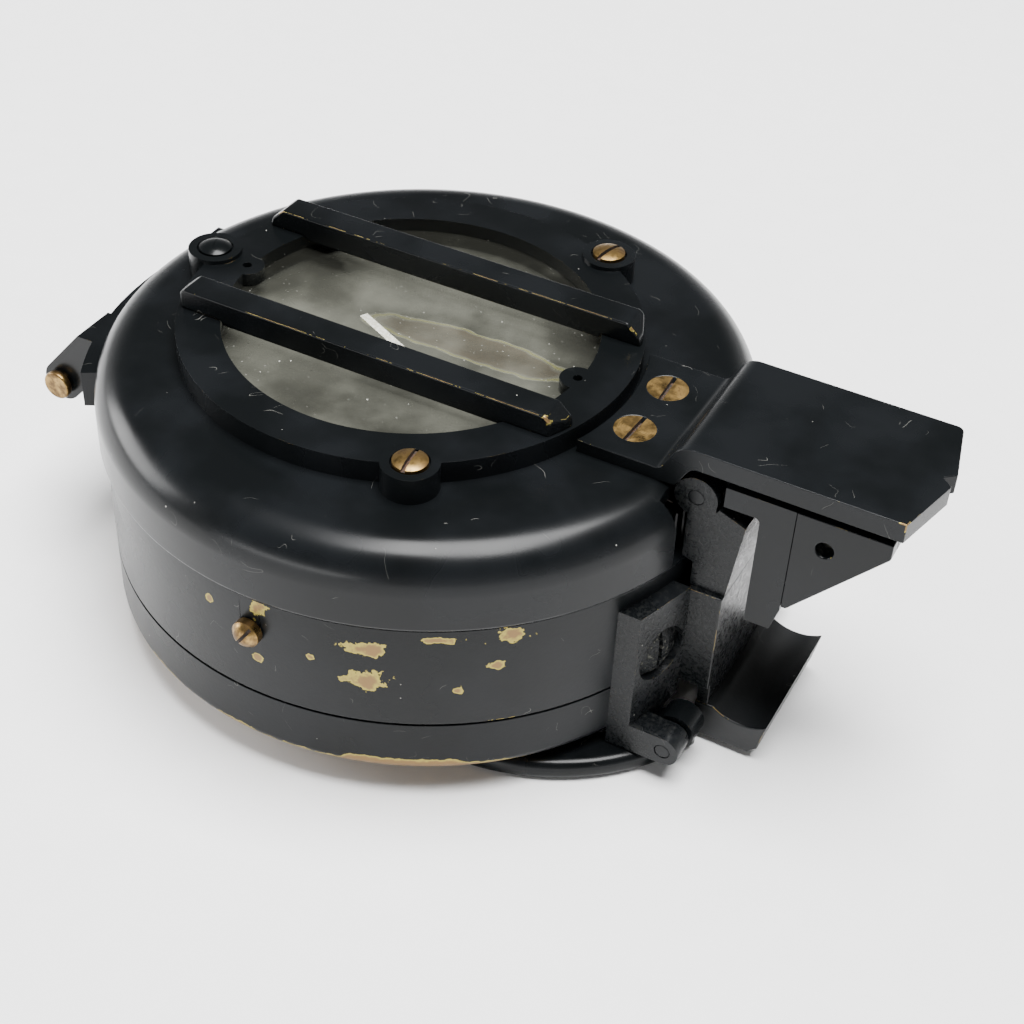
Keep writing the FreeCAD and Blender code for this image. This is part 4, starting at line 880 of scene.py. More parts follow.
def screw_tree():
    """Slotted screw heads, one on each seat, with a domed top and a cut slot."""
    tree, given, result = new_tree("slotted_screw_heads", Top_Radius=0.0016, Foot_Radius=0.0016,
                                   Height=0.0009, Dome=0.0002, Slot_Width=0.0004, Slot_Depth=0.0004,
                                   Head_Finish=finish("brass"), Slot_Finish=finish("slot_dirt"))
    head = put(tree, "GeometryNodeMeshCone", {
        "Vertices": 40, "Side Segments": 1, "Fill Segments": 8, "Radius Top": given.outputs["Top Radius"],
        "Radius Bottom": given.outputs["Foot Radius"], "Depth": given.outputs["Height"]},
        fill_type="TRIANGLE_FAN")
    spot = put(tree, "GeometryNodeInputPosition")
    part = put(tree, "ShaderNodeSeparateXYZ", {"Vector": spot})
    flat = put(tree, "ShaderNodeCombineXYZ", {"X": part.outputs["X"], "Y": part.outputs["Y"]})
    reach = put(tree, "ShaderNodeVectorMath", {0: flat}, operation="LENGTH")
    ratio = put(tree, "ShaderNodeMath", {0: reach, 1: given.outputs["Top Radius"]}, operation="DIVIDE")
    bulge = put(tree, "ShaderNodeMath", {
        0: put(tree, "ShaderNodeMath", {0: ratio, 1: 2.6}, operation="POWER"), 1: given.outputs["Dome"]},
        operation="MULTIPLY")
    on_top = put(tree, "ShaderNodeMath", {
        0: part.outputs["Z"],
        1: put(tree, "ShaderNodeMath", {0: given.outputs["Height"], 1: 0.9}, operation="MULTIPLY")},
        operation="GREATER_THAN")
    drop = put(tree, "ShaderNodeCombineXYZ", {
        "Z": put(tree, "ShaderNodeMath", {0: bulge, 1: -1.0}, operation="MULTIPLY")})
    domed = put(tree, "GeometryNodeSetPosition", {"Geometry": head, "Selection": on_top, "Offset": drop})
    slot_size = put(tree, "ShaderNodeCombineXYZ", {
        "X": given.outputs["Slot Width"], "Y": 0.02,
        "Z": put(tree, "ShaderNodeMath", {0: given.outputs["Slot Depth"], 1: 2.0}, operation="MULTIPLY")})
    cutter = put(tree, "GeometryNodeMeshCube", {"Size": slot_size})
    lift = put(tree, "ShaderNodeCombineXYZ", {"Z": given.outputs["Height"]})
    marked = put(tree, "GeometryNodeStoreNamedAttribute", {
        "Geometry": cutter, "Name": "in_slot", "Value": True}, data_type="BOOLEAN", domain="FACE")
    raised = put(tree, "GeometryNodeTransform", {"Geometry": marked, "Translation": lift})
    slotted = put(tree, "GeometryNodeMeshBoolean", {"Mesh 1": domed}, operation="DIFFERENCE",
        solver="EXACT")
    feed(slotted, {"Mesh 2": raised})
    turn = put(tree, "GeometryNodeInputNamedAttribute", {"Name": "seat_turn"}, data_type="FLOAT_VECTOR")
    rotation = put(tree, "FunctionNodeEulerToRotation", {0: turn.outputs["Attribute"]})
    placed = put(tree, "GeometryNodeInstanceOnPoints", {
        "Points": given.outputs["Geometry"], "Instance": slotted, "Rotation": rotation})
    real = put(tree, "GeometryNodeRealizeInstances", {"Geometry": placed})
    head_coat = put(tree, "GeometryNodeSetMaterial", {
        "Geometry": real, "Material": given.outputs["Head Finish"]})
    in_slot = put(tree, "GeometryNodeInputNamedAttribute", {"Name": "in_slot"}, data_type="BOOLEAN")
    slot_coat = put(tree, "GeometryNodeSetMaterial", {
        "Geometry": head_coat, "Selection": in_slot.outputs["Attribute"],
        "Material": given.outputs["Slot Finish"]})
    feed(result, {0: slot_coat})
    return tree


def rib_tree():
    """Half round ribs standing on a ring of seats."""
    tree, given, result = new_tree("grip_ribs", Rib_Radius=0.0003, Rib_Height=0.002, Lean=0.0, Ribs=120,
                                   Ring_Radius=0.03)
    circle = put(tree, "GeometryNodeMeshCircle", {"Vertices": given.outputs["Ribs"],
                                                  "Radius": given.outputs["Ring Radius"]})
    rib = put(tree, "GeometryNodeMeshCone", {
        "Vertices": 8, "Side Segments": 1, "Fill Segments": 1, "Radius Top": given.outputs["Rib Radius"],
        "Radius Bottom": given.outputs["Rib Radius"], "Depth": given.outputs["Rib Height"]},
        fill_type="NGON")
    ring = put(tree, "GeometryNodeInstanceOnPoints", {"Points": circle, "Instance": rib})
    placed = put(tree, "GeometryNodeInstanceOnPoints", {
        "Points": given.outputs["Geometry"], "Instance": ring})
    real = put(tree, "GeometryNodeRealizeInstances", {"Geometry": placed})
    coated = put(tree, "GeometryNodeSetMaterial", {"Geometry": real, "Material": finish("enamel")})
    feed(result, {0: coated})
    return tree


def mark_tree():
    """Radial lines on a ring; every fifth is longer and wider."""
    tree, given, result = new_tree("radial_marks", Outer_Radius=0.0295, Short_Mark=0.0007, Long_Mark=0.0014,
                                   Mark_Width=0.00016, Mark_Thickness=0.00002, Marks=120,
                                   Mark_Finish=finish("white"))
    circle = put(tree, "GeometryNodeMeshCircle", {"Vertices": given.outputs["Marks"],
                                                  "Radius": given.outputs["Outer Radius"]})
    index = put(tree, "GeometryNodeInputIndex")
    fifth = put(tree, "ShaderNodeMath", {
        0: put(tree, "ShaderNodeMath", {0: index, 1: 5.0}, operation="MODULO"), 1: 0.5},
        operation="LESS_THAN")
    length = put(tree, "ShaderNodeMix", {
        "Factor": fifth, NUMBER_A: given.outputs["Short Mark"], NUMBER_B: given.outputs["Long Mark"]},
        data_type="FLOAT")
    width = put(tree, "ShaderNodeMath", {
        0: given.outputs["Mark Width"],
        1: put(tree, "ShaderNodeMath", {
            0: 1.0, 1: put(tree, "ShaderNodeMath", {0: fifth, 1: 0.5}, operation="MULTIPLY")},
            operation="ADD")}, operation="MULTIPLY")
    size = put(tree, "ShaderNodeCombineXYZ", {
        "X": length, "Y": width, "Z": given.outputs["Mark Thickness"]})
    cube = put(tree, "GeometryNodeMeshCube", {"Size": (1.0, 1.0, 1.0)})
    shifted = put(tree, "GeometryNodeTransform", {"Geometry": cube, "Translation": (-0.5, 0.0, 0.0)})
    part = put(tree, "ShaderNodeSeparateXYZ", {"Vector": put(tree, "GeometryNodeInputPosition")})
    angle = put(tree, "ShaderNodeMath", {0: part.outputs["Y"], 1: part.outputs["X"]}, operation="ARCTAN2")
    spin = put(tree, "FunctionNodeEulerToRotation", {0: put(tree, "ShaderNodeCombineXYZ", {"Z": angle})})
    ring = put(tree, "GeometryNodeInstanceOnPoints", {
        "Points": circle, "Instance": shifted, "Rotation": spin, "Scale": size})
    placed = put(tree, "GeometryNodeInstanceOnPoints", {
        "Points": given.outputs["Geometry"], "Instance": ring})
    real = put(tree, "GeometryNodeRealizeInstances", {"Geometry": placed})
    coated = put(tree, "GeometryNodeSetMaterial", {
        "Geometry": real, "Material": given.outputs["Mark Finish"]})
    feed(result, {0: coated})
    return tree


def ring_marks(name, finish_name, height, values):
    """Radial lines lying at height mm, from the one tree that dial and bezel share."""
    tree = bpy.data.node_groups.get("radial_marks") or mark_tree()
    return run_nodes(name, tree, [finish_name], [((0, 0, height), (0, 0, 0))], values)


def screws(name, seats, finish_name, top, foot, height, dome, slot_width, slot_depth):
    """Screw heads in mm on seats (place, turn)."""
    tree = bpy.data.node_groups.get("slotted_screw_heads") or screw_tree()
    piece = run_nodes(name, tree, [finish_name], seats, {
        "Top Radius": top * MM, "Foot Radius": foot * MM, "Height": height * MM, "Dome": dome * MM,
        "Slot Width": slot_width * MM, "Slot Depth": slot_depth * MM, "Head Finish": finish(finish_name),
        "Slot Finish": finish("slot_dirt" if finish_name.startswith("brass") else finish_name)})
    return break_edges(piece, 0)


# ---------------------------------------------------------------- operators
class COMPASS_OT_base_cap(bpy.types.Operator):
    """Build the screwed base cap with its worn foot and spanner holes"""
    bl_idname = "compass.base_cap"
    bl_label = "Base Cap"

    def execute(self, context):
        foot = 1.1
        shelf = 5.9
        spigot_top = 8.8
        bore = 27.0
        floor = 1.6
        spanner_reach = 22.0
        outline = [(0, 0), (CASE_RADIUS - foot, 0)]
        outline += arc((CASE_RADIUS - foot, foot), foot, -90, 0, 8)[1:]
        outline += [(CASE_RADIUS, shelf), (CAP_SOCKET, shelf), (CAP_SOCKET, spigot_top),
                    (bore, spigot_top), (bore, floor), (0, floor)]
        piece = turned("base_cap_turned", outline, ["enamel_foot", "enamel_foot"])
        carve(piece, *[rod("spanner_hole", 1.0, -1, 1.0, (0, side * spanner_reach, 0)) for side in (-1, 1)])
        break_edges(piece, setting("case_break"), 2)
        deliver(piece, "case", "black_enamel", "base_cap")
        return {"FINISHED"}


class COMPASS_OT_case_body(bpy.types.Operator):
    """Build the turned case wall with its neck and clamp screw hole"""
    bl_idname = "compass.case_body"
    bl_label = "Case Body"

    def execute(self, context):
        low = 6.1
        shoulder = 17.5
        neck = 27.8
        socket_top = 9.0
        piece = turned("case_wall_turned", [
            (CAP_SOCKET, low), (CASE_RADIUS, low), (CASE_RADIUS, shoulder), (neck, shoulder),
            (neck, NECK_TOP), (CASE_BORE, NECK_TOP), (CASE_BORE, socket_top), (CAP_SOCKET, socket_top)],
            ["enamel_case", "edge"])
        along_y = Matrix.Rotation(math.radians(90), 4, "X")
        carve(piece, rod("clamp_hole", 0.95, -2, 3.5, (0, -CASE_RADIUS, CLAMP_HEIGHT), along_y.inverted()))
        break_edges(piece, setting("case_break"), 2)
        deliver(piece, "case", "black_enamel", "case_body")
        return {"FINISHED"}


class COMPASS_OT_capsule(bpy.types.Operator):
    """Build the liquid capsule: cup, bellows, gasket, glass, ring, post and index"""
    bl_idname = "compass.capsule"
    bl_label = "Liquid Capsule"

    def execute(self, context):
        def part(name, node, finish_name, slot, outline, width=0.1):
            piece = break_edges(turned(name, outline, [finish_name, finish_name]), width, 2)
            deliver(piece, "case", slot, node)

        low = 6.8
        floor = 7.8
        gasket = 18.6
        glass = 19.0
        glass_top = 20.3
        part("capsule_cup_spun", "capsule_cup", "enamel", "black_enamel", [
            (1.5, low), (CASE_BORE, low), (CASE_BORE, gasket), (25.4, gasket), (25.4, floor), (1.5, floor)])
        part("expansion_bellows_spun", "expansion_bellows", "brass", "bare_brass", [
            (0, 4.2), (12.0, 4.2), (12.0, 4.8), (10.6, 5.5), (12.0, 6.2), (12.0, low), (11.2, low),
            (9.6, 5.5), (11.2, 4.6), (0, 4.6)], 0)
        part("capsule_gasket_ring", "capsule_gasket", "rubber", "gasket_rubber", [
            (24.4, gasket), (26.5, gasket), (26.5, glass), (24.4, glass)])
        part("capsule_glass_disc", "capsule_glass", "capsule_glass", "clear_glass", [
            (0, glass), (26.5, glass), (26.5, glass_top), (0, glass_top)])
        part("capsule_retaining_ring_turned", "capsule_retaining_ring", "enamel", "black_enamel", [
            (24.7, glass_top), (CASE_BORE, glass_top), (CASE_BORE, NECK_TOP), (24.7, NECK_TOP)])
        part("pivot_post_turned", "pivot_post", "nickel", "nickel_silver", [
            (0, floor), (2.6, floor), (2.6, 8.8), (0.9, 9.4), (0.9, 15.45), (0, 16.45)])
        index = milled("lubber_mark_strip", "lubber_mark", ["white", "white"], 0.1, 2)
        deliver(index, "case", "white_enamel", "lubber_mark")
        return {"FINISHED"}


class COMPASS_OT_compass_card(bpy.types.Operator):
    """Build the pearl dial with its printed scale, hub, jewel and magnets"""
    bl_idname = "compass.compass_card"
    bl_label = "Compass Card"

    def execute(self, context):
        low = 17.2
        rim = 24.2
        dial = turned("pearl_dial_disc", [(0, low), (rim, low), (rim, DIAL_TOP), (0, DIAL_TOP)],
                      ["pearl", "pearl"])
        deliver(break_edges(dial, 0.12, 2), "compass_card", "mother_of_pearl", "pearl_dial")
        cup = 16.3
        hub = turned("dial_hub_turned", [(1.5, 14.8), (2.6, 14.8), (3.2, 15.4), (3.2, low), (1.6, low),
                                         (1.6, cup), (1.5, cup)], ["brass", "brass"], steps=64)
        deliver(break_edges(hub, 0.1, 2), "compass_card", "bare_brass", "dial_hub")
        jewel = turned("jewel_cup_ground", [(0, 16.5), (0.35, cup), (1.6, cup), (1.6, low), (0, low)],
                       ["sapphire", "sapphire"], steps=48)
        deliver(break_edges(jewel, 0.05, 2), "compass_card", "sapphire", "jewel_cup")
        deliver(milled("bar_magnets_ground", "card_magnets", ["steel", "steel"], 0.15, 2),
                "compass_card", "magnet_steel", "card_magnets")
        scale = ring_marks("dial_scale_printed", "ink", DIAL_TOP + 0.005, {
            "Outer Radius": 23.7 * MM, "Short Mark": 0.8 * MM, "Long Mark": 1.5 * MM,
            "Mark Width": 0.14 * MM, "Mark Thickness": 0.02 * MM, "Marks": 180,
            "Mark Finish": finish("ink")})
        deliver(scale, "compass_card", "black_enamel")
        figures = bmesh.new()
        figure_count = 12
        figure_top = 21.9   # mm from the centre to the top of the figures
        for step in range(figure_count):
            curve = bpy.data.curves.new("figure", "FONT")
            curve.body = str(step * 360 // figure_count)
            curve.size = setting("figure_height") * 1.4 * MM
            curve.align_x, curve.align_y = "CENTER", "TOP"
            curve.resolution_u = 2
            curve.extrude = 0.01 * MM
            figure = bpy.data.objects.new("figure", curve)
            bpy.context.scene.collection.objects.link(figure)
            bpy.context.view_layer.update()
            mesh = bpy.data.meshes.new_from_object(figure.evaluated_get(
                bpy.context.evaluated_depsgraph_get()))
            angle = -TURN * step / figure_count
            mesh.transform(Matrix.Rotation(angle, 4, "Z") @ Matrix.Translation(
                (0, figure_top * MM, (DIAL_TOP + 0.01) * MM)))
            figures.from_mesh(mesh)
            bpy.data.objects.remove(figure)
            bpy.data.curves.remove(curve)
            bpy.data.meshes.remove(mesh)
        bmesh.ops.scale(figures, vec=(1 / MM,) * 3, verts=figures.verts)
        deliver(wrap(figures, "dial_figures_printed", ["ink"]), "compass_card", "black_enamel")
        return {"FINISHED"}


class COMPASS_OT_bezel(bpy.types.Operator):
    """Build the turning bezel with its grip, white marks, glass and snap ring"""
    bl_idname = "compass.bezel"
    bl_label = "Turning Bezel"

    def execute(self, context):
        rib = setting("rib_radius")
        outside = 29.9
        ring_face = outside - rib * 0.6
        low = 17.55
        bore = 27.85        # runs on the case's neck
        glass_seat = 27.3
        bevel = 0.4
        ring = turned("bezel_ring_turned", [
            (bore, low), (ring_face, low), (ring_face, 22.0), (ring_face - bevel, BEZEL_TOP),
            (glass_seat, BEZEL_TOP), (glass_seat, BEZEL_GLASS), (26.0, BEZEL_GLASS), (26.0, 21.0),
            (bore, 21.0)], ["enamel", "edge"])
        deliver(break_edges(ring, 0.12, 2), "bezel", "black_enamel", "bezel_ring")
        grip = run_nodes("bezel_grip_ribs", rib_tree(), ["enamel"], [((0, 0, 18.1), (0, 0, 0))], {
            "Rib Radius": rib * MM, "Rib Height": 3.6 * MM, "Ribs": setting("ribs"),
            "Ring Radius": (outside - rib) * MM})
        deliver(break_edges(grip, 0), "bezel", "black_enamel")
        marks = ring_marks("bezel_graduations_filled", "white", BEZEL_TOP, {
            "Outer Radius": 29.0 * MM, "Short Mark": 0.7 * MM, "Long Mark": 1.3 * MM,
            "Mark Width": setting("graduation_width") * MM, "Mark Thickness": 0.02 * MM,
            "Marks": setting("graduations")})
        deliver(marks, "bezel", "white_enamel")
        glass_top = 22.1
        glass = turned("bezel_glass_disc", [
            (0, BEZEL_GLASS), (glass_seat, BEZEL_GLASS), (glass_seat, glass_top), (0, glass_top)],
            ["bezel_glass", "bezel_glass"])
        deliver(break_edges(glass, 0.06, 2), "bezel", "clear_glass", "bezel_glass")
        snap = turned("bezel_snap_ring_sprung", [
            (26.5, glass_top), (glass_seat, glass_top), (glass_seat, 22.38), (26.5, 22.38)],
            ["enamel", "edge"])
        deliver(break_edges(snap, 0.08, 2), "bezel", "black_enamel", "bezel_snap_ring")
        heading = math.radians(153.6)
        half_width = 0.44
        paint = 0.06
        stripe = block("bezel_luminous_line", (3.0, -half_width, glass_top),
                       (12.0, half_width, glass_top + paint), ["white"])
        stripe.data.transform(Matrix.Rotation(heading, 4, "Z"))
        deliver(stripe, "bezel", "white_enamel")
        return {"FINISHED"}


class COMPASS_OT_lid_shell(bpy.types.Operator):
    """Build the turned lid with its round shoulder, window and prism gap"""
    bl_idname = "compass.lid_shell"
    bl_label = "Lid Shell"

    def execute(self, context):
        outer = 31.75
        inner = outer - 1.35
        low = 17.8
        top = 25.7
        roof = 1.5
        shoulder = 4.0
        inner_round = 2.6
        lip = 0.5
        outline = [(0, top), (outer - shoulder, top)]
        outline += arc((outer - shoulder, top - shoulder), shoulder, 90, 0, 18)[1:]
        outline += arc((outer - lip, low + lip), lip, 0, -90, 6)
        outline += [(inner, low), (inner, top - roof - inner_round)]
        outline += arc((inner - inner_round, top - roof - inner_round), inner_round, 0, 90, 8)[1:]
        outline += [(0, top - roof)]
        piece = turned("lid_shell_turned", outline, ["enamel", "edge"], steps=256)
        carve(piece, rod("window", 18.4, 15, 40, (WINDOW, 0, 0), steps=160),
              rod("glass_seat", 19.7, LID_GLASS, 40, (WINDOW, 0, 0), steps=160),
              block("prism_gap", (28.4, -9.4, 10), (40, 9.4, 40)))
        break_edges(piece, setting("case_break"), 2)
        deliver(piece, "lid", "black_enamel", "lid_shell")
        return {"FINISHED"}


class COMPASS_OT_lid_window(bpy.types.Operator):
    """Build the lid's glass and its window frame with screw lugs and thread tabs"""
    bl_idname = "compass.lid_window"
    bl_label = "Lid Window"

    def execute(self, context):
        rim = 19.6
        top = 26.5
        glass = turned("lid_glass_disc", [(0, LID_GLASS), (rim, LID_GLASS), (rim, top), (0, top)],
                       ["lid_glass", "lid_glass"], (WINDOW, 0))
        deliver(break_edges(glass, 0.1, 2), "lid", "clear_glass", "lid_glass")
        frame_ring = milled("window_frame_milled", "window_frame", ["enamel", "edge"], 0.25)
        deliver(frame_ring, "lid", "black_enamel", "window_frame")
        return {"FINISHED"}


class COMPASS_OT_guard_bars(bpy.types.Operator):
    """Build the two bars that guard the lid's glass"""
    bl_idname = "compass.guard_bars"
    bl_label = "Guard Bars"

    def execute(self, context):
        for side in ("near", "far"):
            node = "guard_bar_" + side
            bar = milled(node + "_milled", node, ["enamel", "edge_bar"], 0.45, 4, 25)
            deliver(bar, "lid", "black_enamel", node)
        return {"FINISHED"}


class COMPASS_OT_tongue(bpy.types.Operator):
    """Build the tongue over the prism, with its step and sighting notch"""
    bl_idname = "compass.tongue"
    bl_label = "Tongue"

    def execute(self, context):
        piece = milled("tongue_milled", "tongue", ["enamel", "edge_tongue"], 0.4, 4,
                       corner=(lambda middle: middle.x > 45 and middle.y > 5, 0.6))
        deliver(piece, "lid", "black_enamel", "tongue")
        return {"FINISHED"}


class COMPASS_OT_lid_hinge(bpy.types.Operator):
    """Build the lid hinge: strap, case plate and pin"""
    bl_idname = "compass.lid_hinge"
    bl_label = "Lid Hinge"

    def execute(self, context):
        strap = milled("lid_hinge_strap_milled", "lid_hinge_strap", ["enamel", "edge_bar"], 0.2)
        deliver(strap, "lid", "black_enamel", "lid_hinge_strap")
        plate = milled("case_hinge_plate_milled", "case_hinge_plate", ["enamel", "edge"], 0.15)
        deliver(plate, "case", "black_enamel", "case_hinge_plate")
        pin = milled("lid_hinge_pin_riveted", "lid_hinge_pin", ["brass_worn", "brass_worn"], 0.35)
        deliver(pin, "lid", "bare_brass", "lid_hinge_pin")
        return {"FINISHED"}


class COMPASS_OT_guide_brackets(bpy.types.Operator):
    """Build the two guide brackets, the slide rail and the ring's pivot pins"""
    bl_idname = "compass.guide_brackets"
    bl_label = "Guide Brackets"

    def execute(self, context):
        for side in ("near", "far"):
            node = "guide_bracket_" + side
            bracket = milled(node + "_milled", node, ["gritty", "gritty_edge"], setting("edge_break"))
            deliver(bracket, "case", "black_enamel", node)
        rail = milled("slide_rail_milled", "slide_rail", ["grime", "grime"], 0.15)
        deliver(rail, "case", "bare_brass", "slide_rail")
        pins = milled("ring_pivot_pins_turned", "ring_pivot_pins", ["enamel", "edge"], 0.2)
        deliver(pins, "case", "black_enamel", "ring_pivot_pins")
        return {"FINISHED"}


class COMPASS_OT_focus_slide(bpy.types.Operator):
    """Build the focusing slide: block, hinge ear, thumb piece and hinge pin"""
    bl_idname = "compass.focus_slide"
    bl_label = "Focusing Slide"

    def execute(self, context):
        for node, skin, width in (("slide_block", "gritty", 0.3), ("hinge_ear", "gritty", 0.3),
                                  ("thumb_piece", "handled", 0.5)):
            piece = milled(node + "_milled", node, [skin, "gritty_edge"], width)
            deliver(piece, "focus_slide", "black_enamel", node)
        pin = milled("prism_hinge_pin_turned", "prism_hinge_pin", ["enamel", "edge"], 0.15)
        deliver(pin, "focus_slide", "black_enamel", "prism_hinge_pin")
        return {"FINISHED"}


class COMPASS_OT_prism(bpy.types.Operator):
    """Build the folding prism: frame, cheeks, cover, glass and eye lens"""
    bl_idname = "compass.prism"
    bl_label = "Folding Prism"

    def execute(self, context):
        for node, width in (("prism_frame", 0.3), ("prism_cheek_near", 0.18), ("prism_cheek_far", 0.18),
                            ("prism_cover", 0.15)):
            piece = milled(node + "_milled", node, ["enamel", "edge"], width)
            deliver(piece, "prism", "black_enamel", node)
        glass = milled("prism_glass_polished", "prism_glass", ["prism_glass", "prism_glass"], 0.12, 2)
        deliver(glass, "prism", "clear_glass", "prism_glass")
        lens = milled("eye_lens_polished", "eye_lens", ["prism_glass", "prism_glass"], 0.12, 2)
        deliver(lens, "prism", "clear_glass", "eye_lens")
        ring = milled("eye_lens_ring_turned", "eye_lens_ring", ["brass", "brass"], 0.15, 2)
        deliver(ring, "prism", "bare_brass", "eye_lens_ring")
        return {"FINISHED"}


class COMPASS_OT_thumb_ring(bpy.types.Operator):
    """Build the thumb ring that folds under the base"""
    bl_idname = "compass.thumb_ring"
    bl_label = "Thumb Ring"

    def execute(self, context):
        piece = milled("thumb_ring_forged", "thumb_ring", ["enamel", "edge"], setting("ring_break"), 2, 45)
        deliver(piece, "thumb_ring", "black_enamel", "thumb_ring")
        return {"FINISHED"}


class COMPASS_OT_screws(bpy.types.Operator):
    """Build every slotted screw head on its seat"""
    bl_idname = "compass.screws"
    bl_label = "Screws"

    def execute(self, context):
        lug_circle = 22.5
        lugs = [(WINDOW + lug_circle * math.cos(math.radians(a)), lug_circle * math.sin(math.radians(a)))
                for a in (180, -60, 60)]
        slots = (0.4, 0.12, -0.25)
        piece = screws("window_frame_screw_heads", [((x, y, LUG_SEAT), (0, 0, turn))
                                                    for (x, y), turn in zip(lugs[1:], slots[1:])],
                       "brass", top=1.6, foot=1.6, height=0.9, dome=0.25, slot_width=0.4, slot_depth=0.5)
        deliver(piece, "lid", "bare_brass", "window_frame_screws")
        painted = screws("window_frame_screw_head_painted", [((*lugs[0], LUG_SEAT), (0, 0, slots[0]))],
                         "enamel", top=1.6, foot=1.6, height=0.9, dome=0.38, slot_width=0.2,
                         slot_depth=0.08)
        deliver(painted, "lid", "black_enamel")
        sunk = screws("tongue_screw_heads", [((23.1, side * 3.55, 25.9), (0, 0, side * 0.05))
                                             for side in (-1, 1)],
                      "brass_sunk", top=1.95, foot=1.08, height=1.1, dome=0.03, slot_width=0.42,
                      slot_depth=0.5)
        deliver(sunk, "lid", "bare_brass", "tongue_screws")
        out = math.radians(-90)
        hinge = screws("hinge_plate_screw_heads", [((-32.6, side * 4.3, 9.7), (0.3 * side, out, 0))
                                                   for side in (-1, 1)],
                       "enamel", top=1.5, foot=1.5, height=0.8, dome=0.2, slot_width=0.4, slot_depth=0.4)
        deliver(hinge, "case", "black_enamel", "hinge_plate_screws")
        seats = []
        for side in (-1, 1):
            slant = math.radians(18.5) * side
            normal = Vector((math.cos(slant), math.sin(slant), 0))
            place = Vector((30.95, side * 11.1, 9.3)) - normal * 0.9
            turn = normal.to_track_quat("Z", "Y").to_euler()
            seats.append((place, turn))
        bracket = screws("guide_bracket_screw_heads", seats, "grime", top=2.45, foot=2.45,
                         height=0.8, dome=0.45, slot_width=0.5, slot_depth=0.4)
        deliver(bracket, "case", "black_enamel", "guide_bracket_screws")
        clamp = screws("bezel_clamp_screw_head", [((0, -31.35, CLAMP_HEIGHT), (math.radians(90), 0.6, 0))],
                       "brass_worn", top=1.35, foot=1.35, height=1.5, dome=0.75, slot_width=0.32,
                       slot_depth=0.6)
        deliver(clamp, "clamp_screw", "bare_brass", "bezel_clamp_screw")
        return {"FINISHED"}


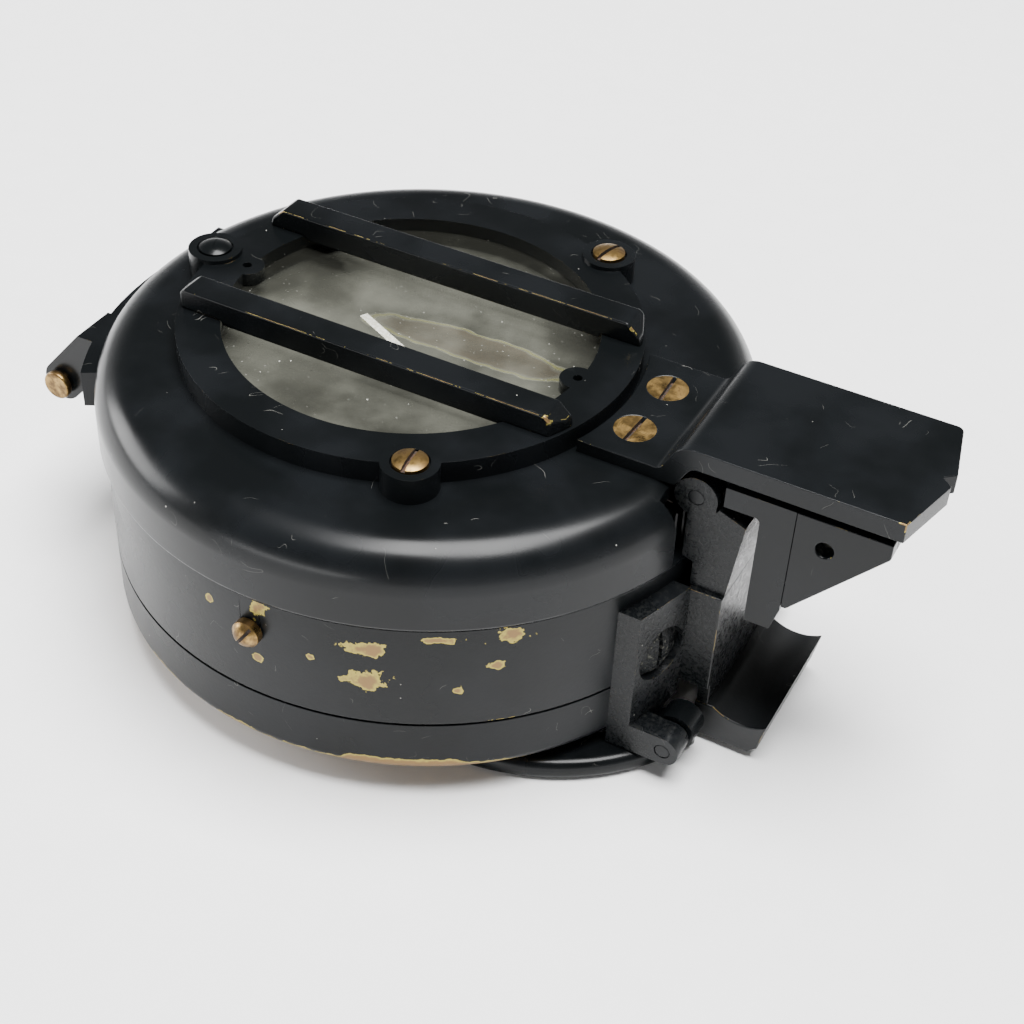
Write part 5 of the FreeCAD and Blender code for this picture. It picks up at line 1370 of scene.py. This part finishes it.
class COMPASS_OT_stage(bpy.types.Operator):
    """Build the pale floor, the soft lights and the camera"""
    bl_idname = "compass.stage"
    bl_label = "Stage"

    def execute(self, context):
        form = bmesh.new()
        bmesh.ops.create_grid(form, x_segments=1, y_segments=1, size=4000.0,
                              matrix=Matrix.Translation((0, 0, FLOOR)))
        mesh = bpy.data.meshes.new("floor")
        bmesh.ops.scale(form, vec=(MM, MM, MM), verts=form.verts)
        form.to_mesh(mesh)
        form.free()
        paper, tree, shader, where = new_finish("matt_paper_white", Roughness=0.85)
        tooth = put(tree, "ShaderNodeTexNoise", {"Vector": where, "Scale": per_mm(4.0), "Detail": 2.0})
        feed(shader, {
            "Base Color": put(tree, "ShaderNodeMix", {
                "Factor": tooth, COLOUR_A: shade("#f3f3f3"), COLOUR_B: shade("#f8f8f8")},
                data_type="RGBA")})
        mesh.materials.append(paper)
        floor = bpy.data.objects.new("floor", mesh)
        bpy.context.scene.collection.objects.link(floor)

        world = bpy.data.worlds.new("studio")
        bpy.context.scene.world = world
        world.use_nodes = True
        sky = world.node_tree
        rise = put(sky, "ShaderNodeSeparateXYZ", {"Vector": put(
            sky, "ShaderNodeTexCoord").outputs["Generated"]}).outputs["Z"]
        feed(sky.nodes["Background"], {
            "Color": shade("#ffffff"),
            "Strength": put(sky, "ShaderNodeMapRange", {
                "Value": rise, "From Min": 0.05, "From Max": 0.5, "To Min": 1.0, "To Max": 0.1},
                interpolation_type="SMOOTHSTEP")})

        def softbox(name, place, target, width, height, power):
            lamp = bpy.data.lights.new(name, "AREA")
            lamp.shape = "RECTANGLE"
            lamp.size = width * MM
            lamp.size_y = height * MM
            lamp.energy = power
            holder = bpy.data.objects.new(name, lamp)
            holder.location = Vector(place) * MM
            holder.rotation_euler = (Vector(target) - Vector(place)).to_track_quat("-Z", "Y").to_euler()
            bpy.context.scene.collection.objects.link(holder)

        softbox("softbox_top", (110, 20, 820), (0, 0, 0), 520, 520, 26.0)
        softbox("softbox_left", (-560, -120, 190), (0, 0, 10), 360, 240, 4.0)
        softbox("softbox_front", (-150, -700, 75), (0, 0, 10), 520, 70, 1.6)

        # The camera's own axes in the frame, and its place in mm.
        right = Vector((0.88009763, 0.47320389, 0.03881023))
        up = Vector((-0.33494345, 0.56085399, 0.7571365))
        back = Vector((0.33651307, -0.67935328, 0.65210282))
        place = Vector((71.966, -126.909, 126.697))
        lens = bpy.data.cameras.new("camera")
        lens.lens = 65.18
        lens.sensor_width = 36.0
        lens.shift_x = 0.00586
        lens.shift_y = 0.0285
        lens.clip_start = 0.01
        lens.clip_end = 10.0
        camera = bpy.data.objects.new("camera", lens)
        turn = Matrix((right, up, back)).transposed().to_4x4()
        camera.matrix_world = Matrix.Translation(place * MM) @ turn
        bpy.context.scene.collection.objects.link(camera)
        bpy.context.scene.camera = camera
        return {"FINISHED"}


OPERATORS = (COMPASS_OT_base_cap, COMPASS_OT_case_body, COMPASS_OT_capsule, COMPASS_OT_compass_card,
             COMPASS_OT_bezel, COMPASS_OT_lid_shell, COMPASS_OT_lid_window, COMPASS_OT_guard_bars,
             COMPASS_OT_tongue, COMPASS_OT_lid_hinge, COMPASS_OT_guide_brackets, COMPASS_OT_focus_slide,
             COMPASS_OT_prism, COMPASS_OT_thumb_ring, COMPASS_OT_screws, COMPASS_OT_stage)


class COMPASS_PT_pieces(bpy.types.Panel):
    """Lists the compass's pieces, sizes and colours"""
    bl_idname = "COMPASS_PT_pieces"
    bl_label = "Sighting Compass"
    bl_space_type = "VIEW_3D"
    bl_region_type = "UI"
    bl_category = "Compass"

    def draw(self, context):
        column = self.layout.column()
        for settings in (context.scene.compass_sizes, context.scene.compass_colours):
            for key in settings.__annotations__:
                column.prop(settings, key)
        for operator in OPERATORS:
            column.operator(operator.bl_idname)


def register():
    for group in (CompassColours, CompassSizes, *OPERATORS, COMPASS_PT_pieces):
        bpy.utils.register_class(group)
    bpy.types.Scene.compass_colours = bpy.props.PointerProperty(type=CompassColours)
    bpy.types.Scene.compass_sizes = bpy.props.PointerProperty(type=CompassSizes)


def unregister():
    del bpy.types.Scene.compass_sizes
    del bpy.types.Scene.compass_colours
    for group in reversed((CompassColours, CompassSizes, *OPERATORS, COMPASS_PT_pieces)):
        bpy.utils.unregister_class(group)


def main():
    register()
    for operator in OPERATORS:
        getattr(bpy.ops.compass, operator.bl_idname.split(".")[1])()


if __name__ == "__main__":
    main()
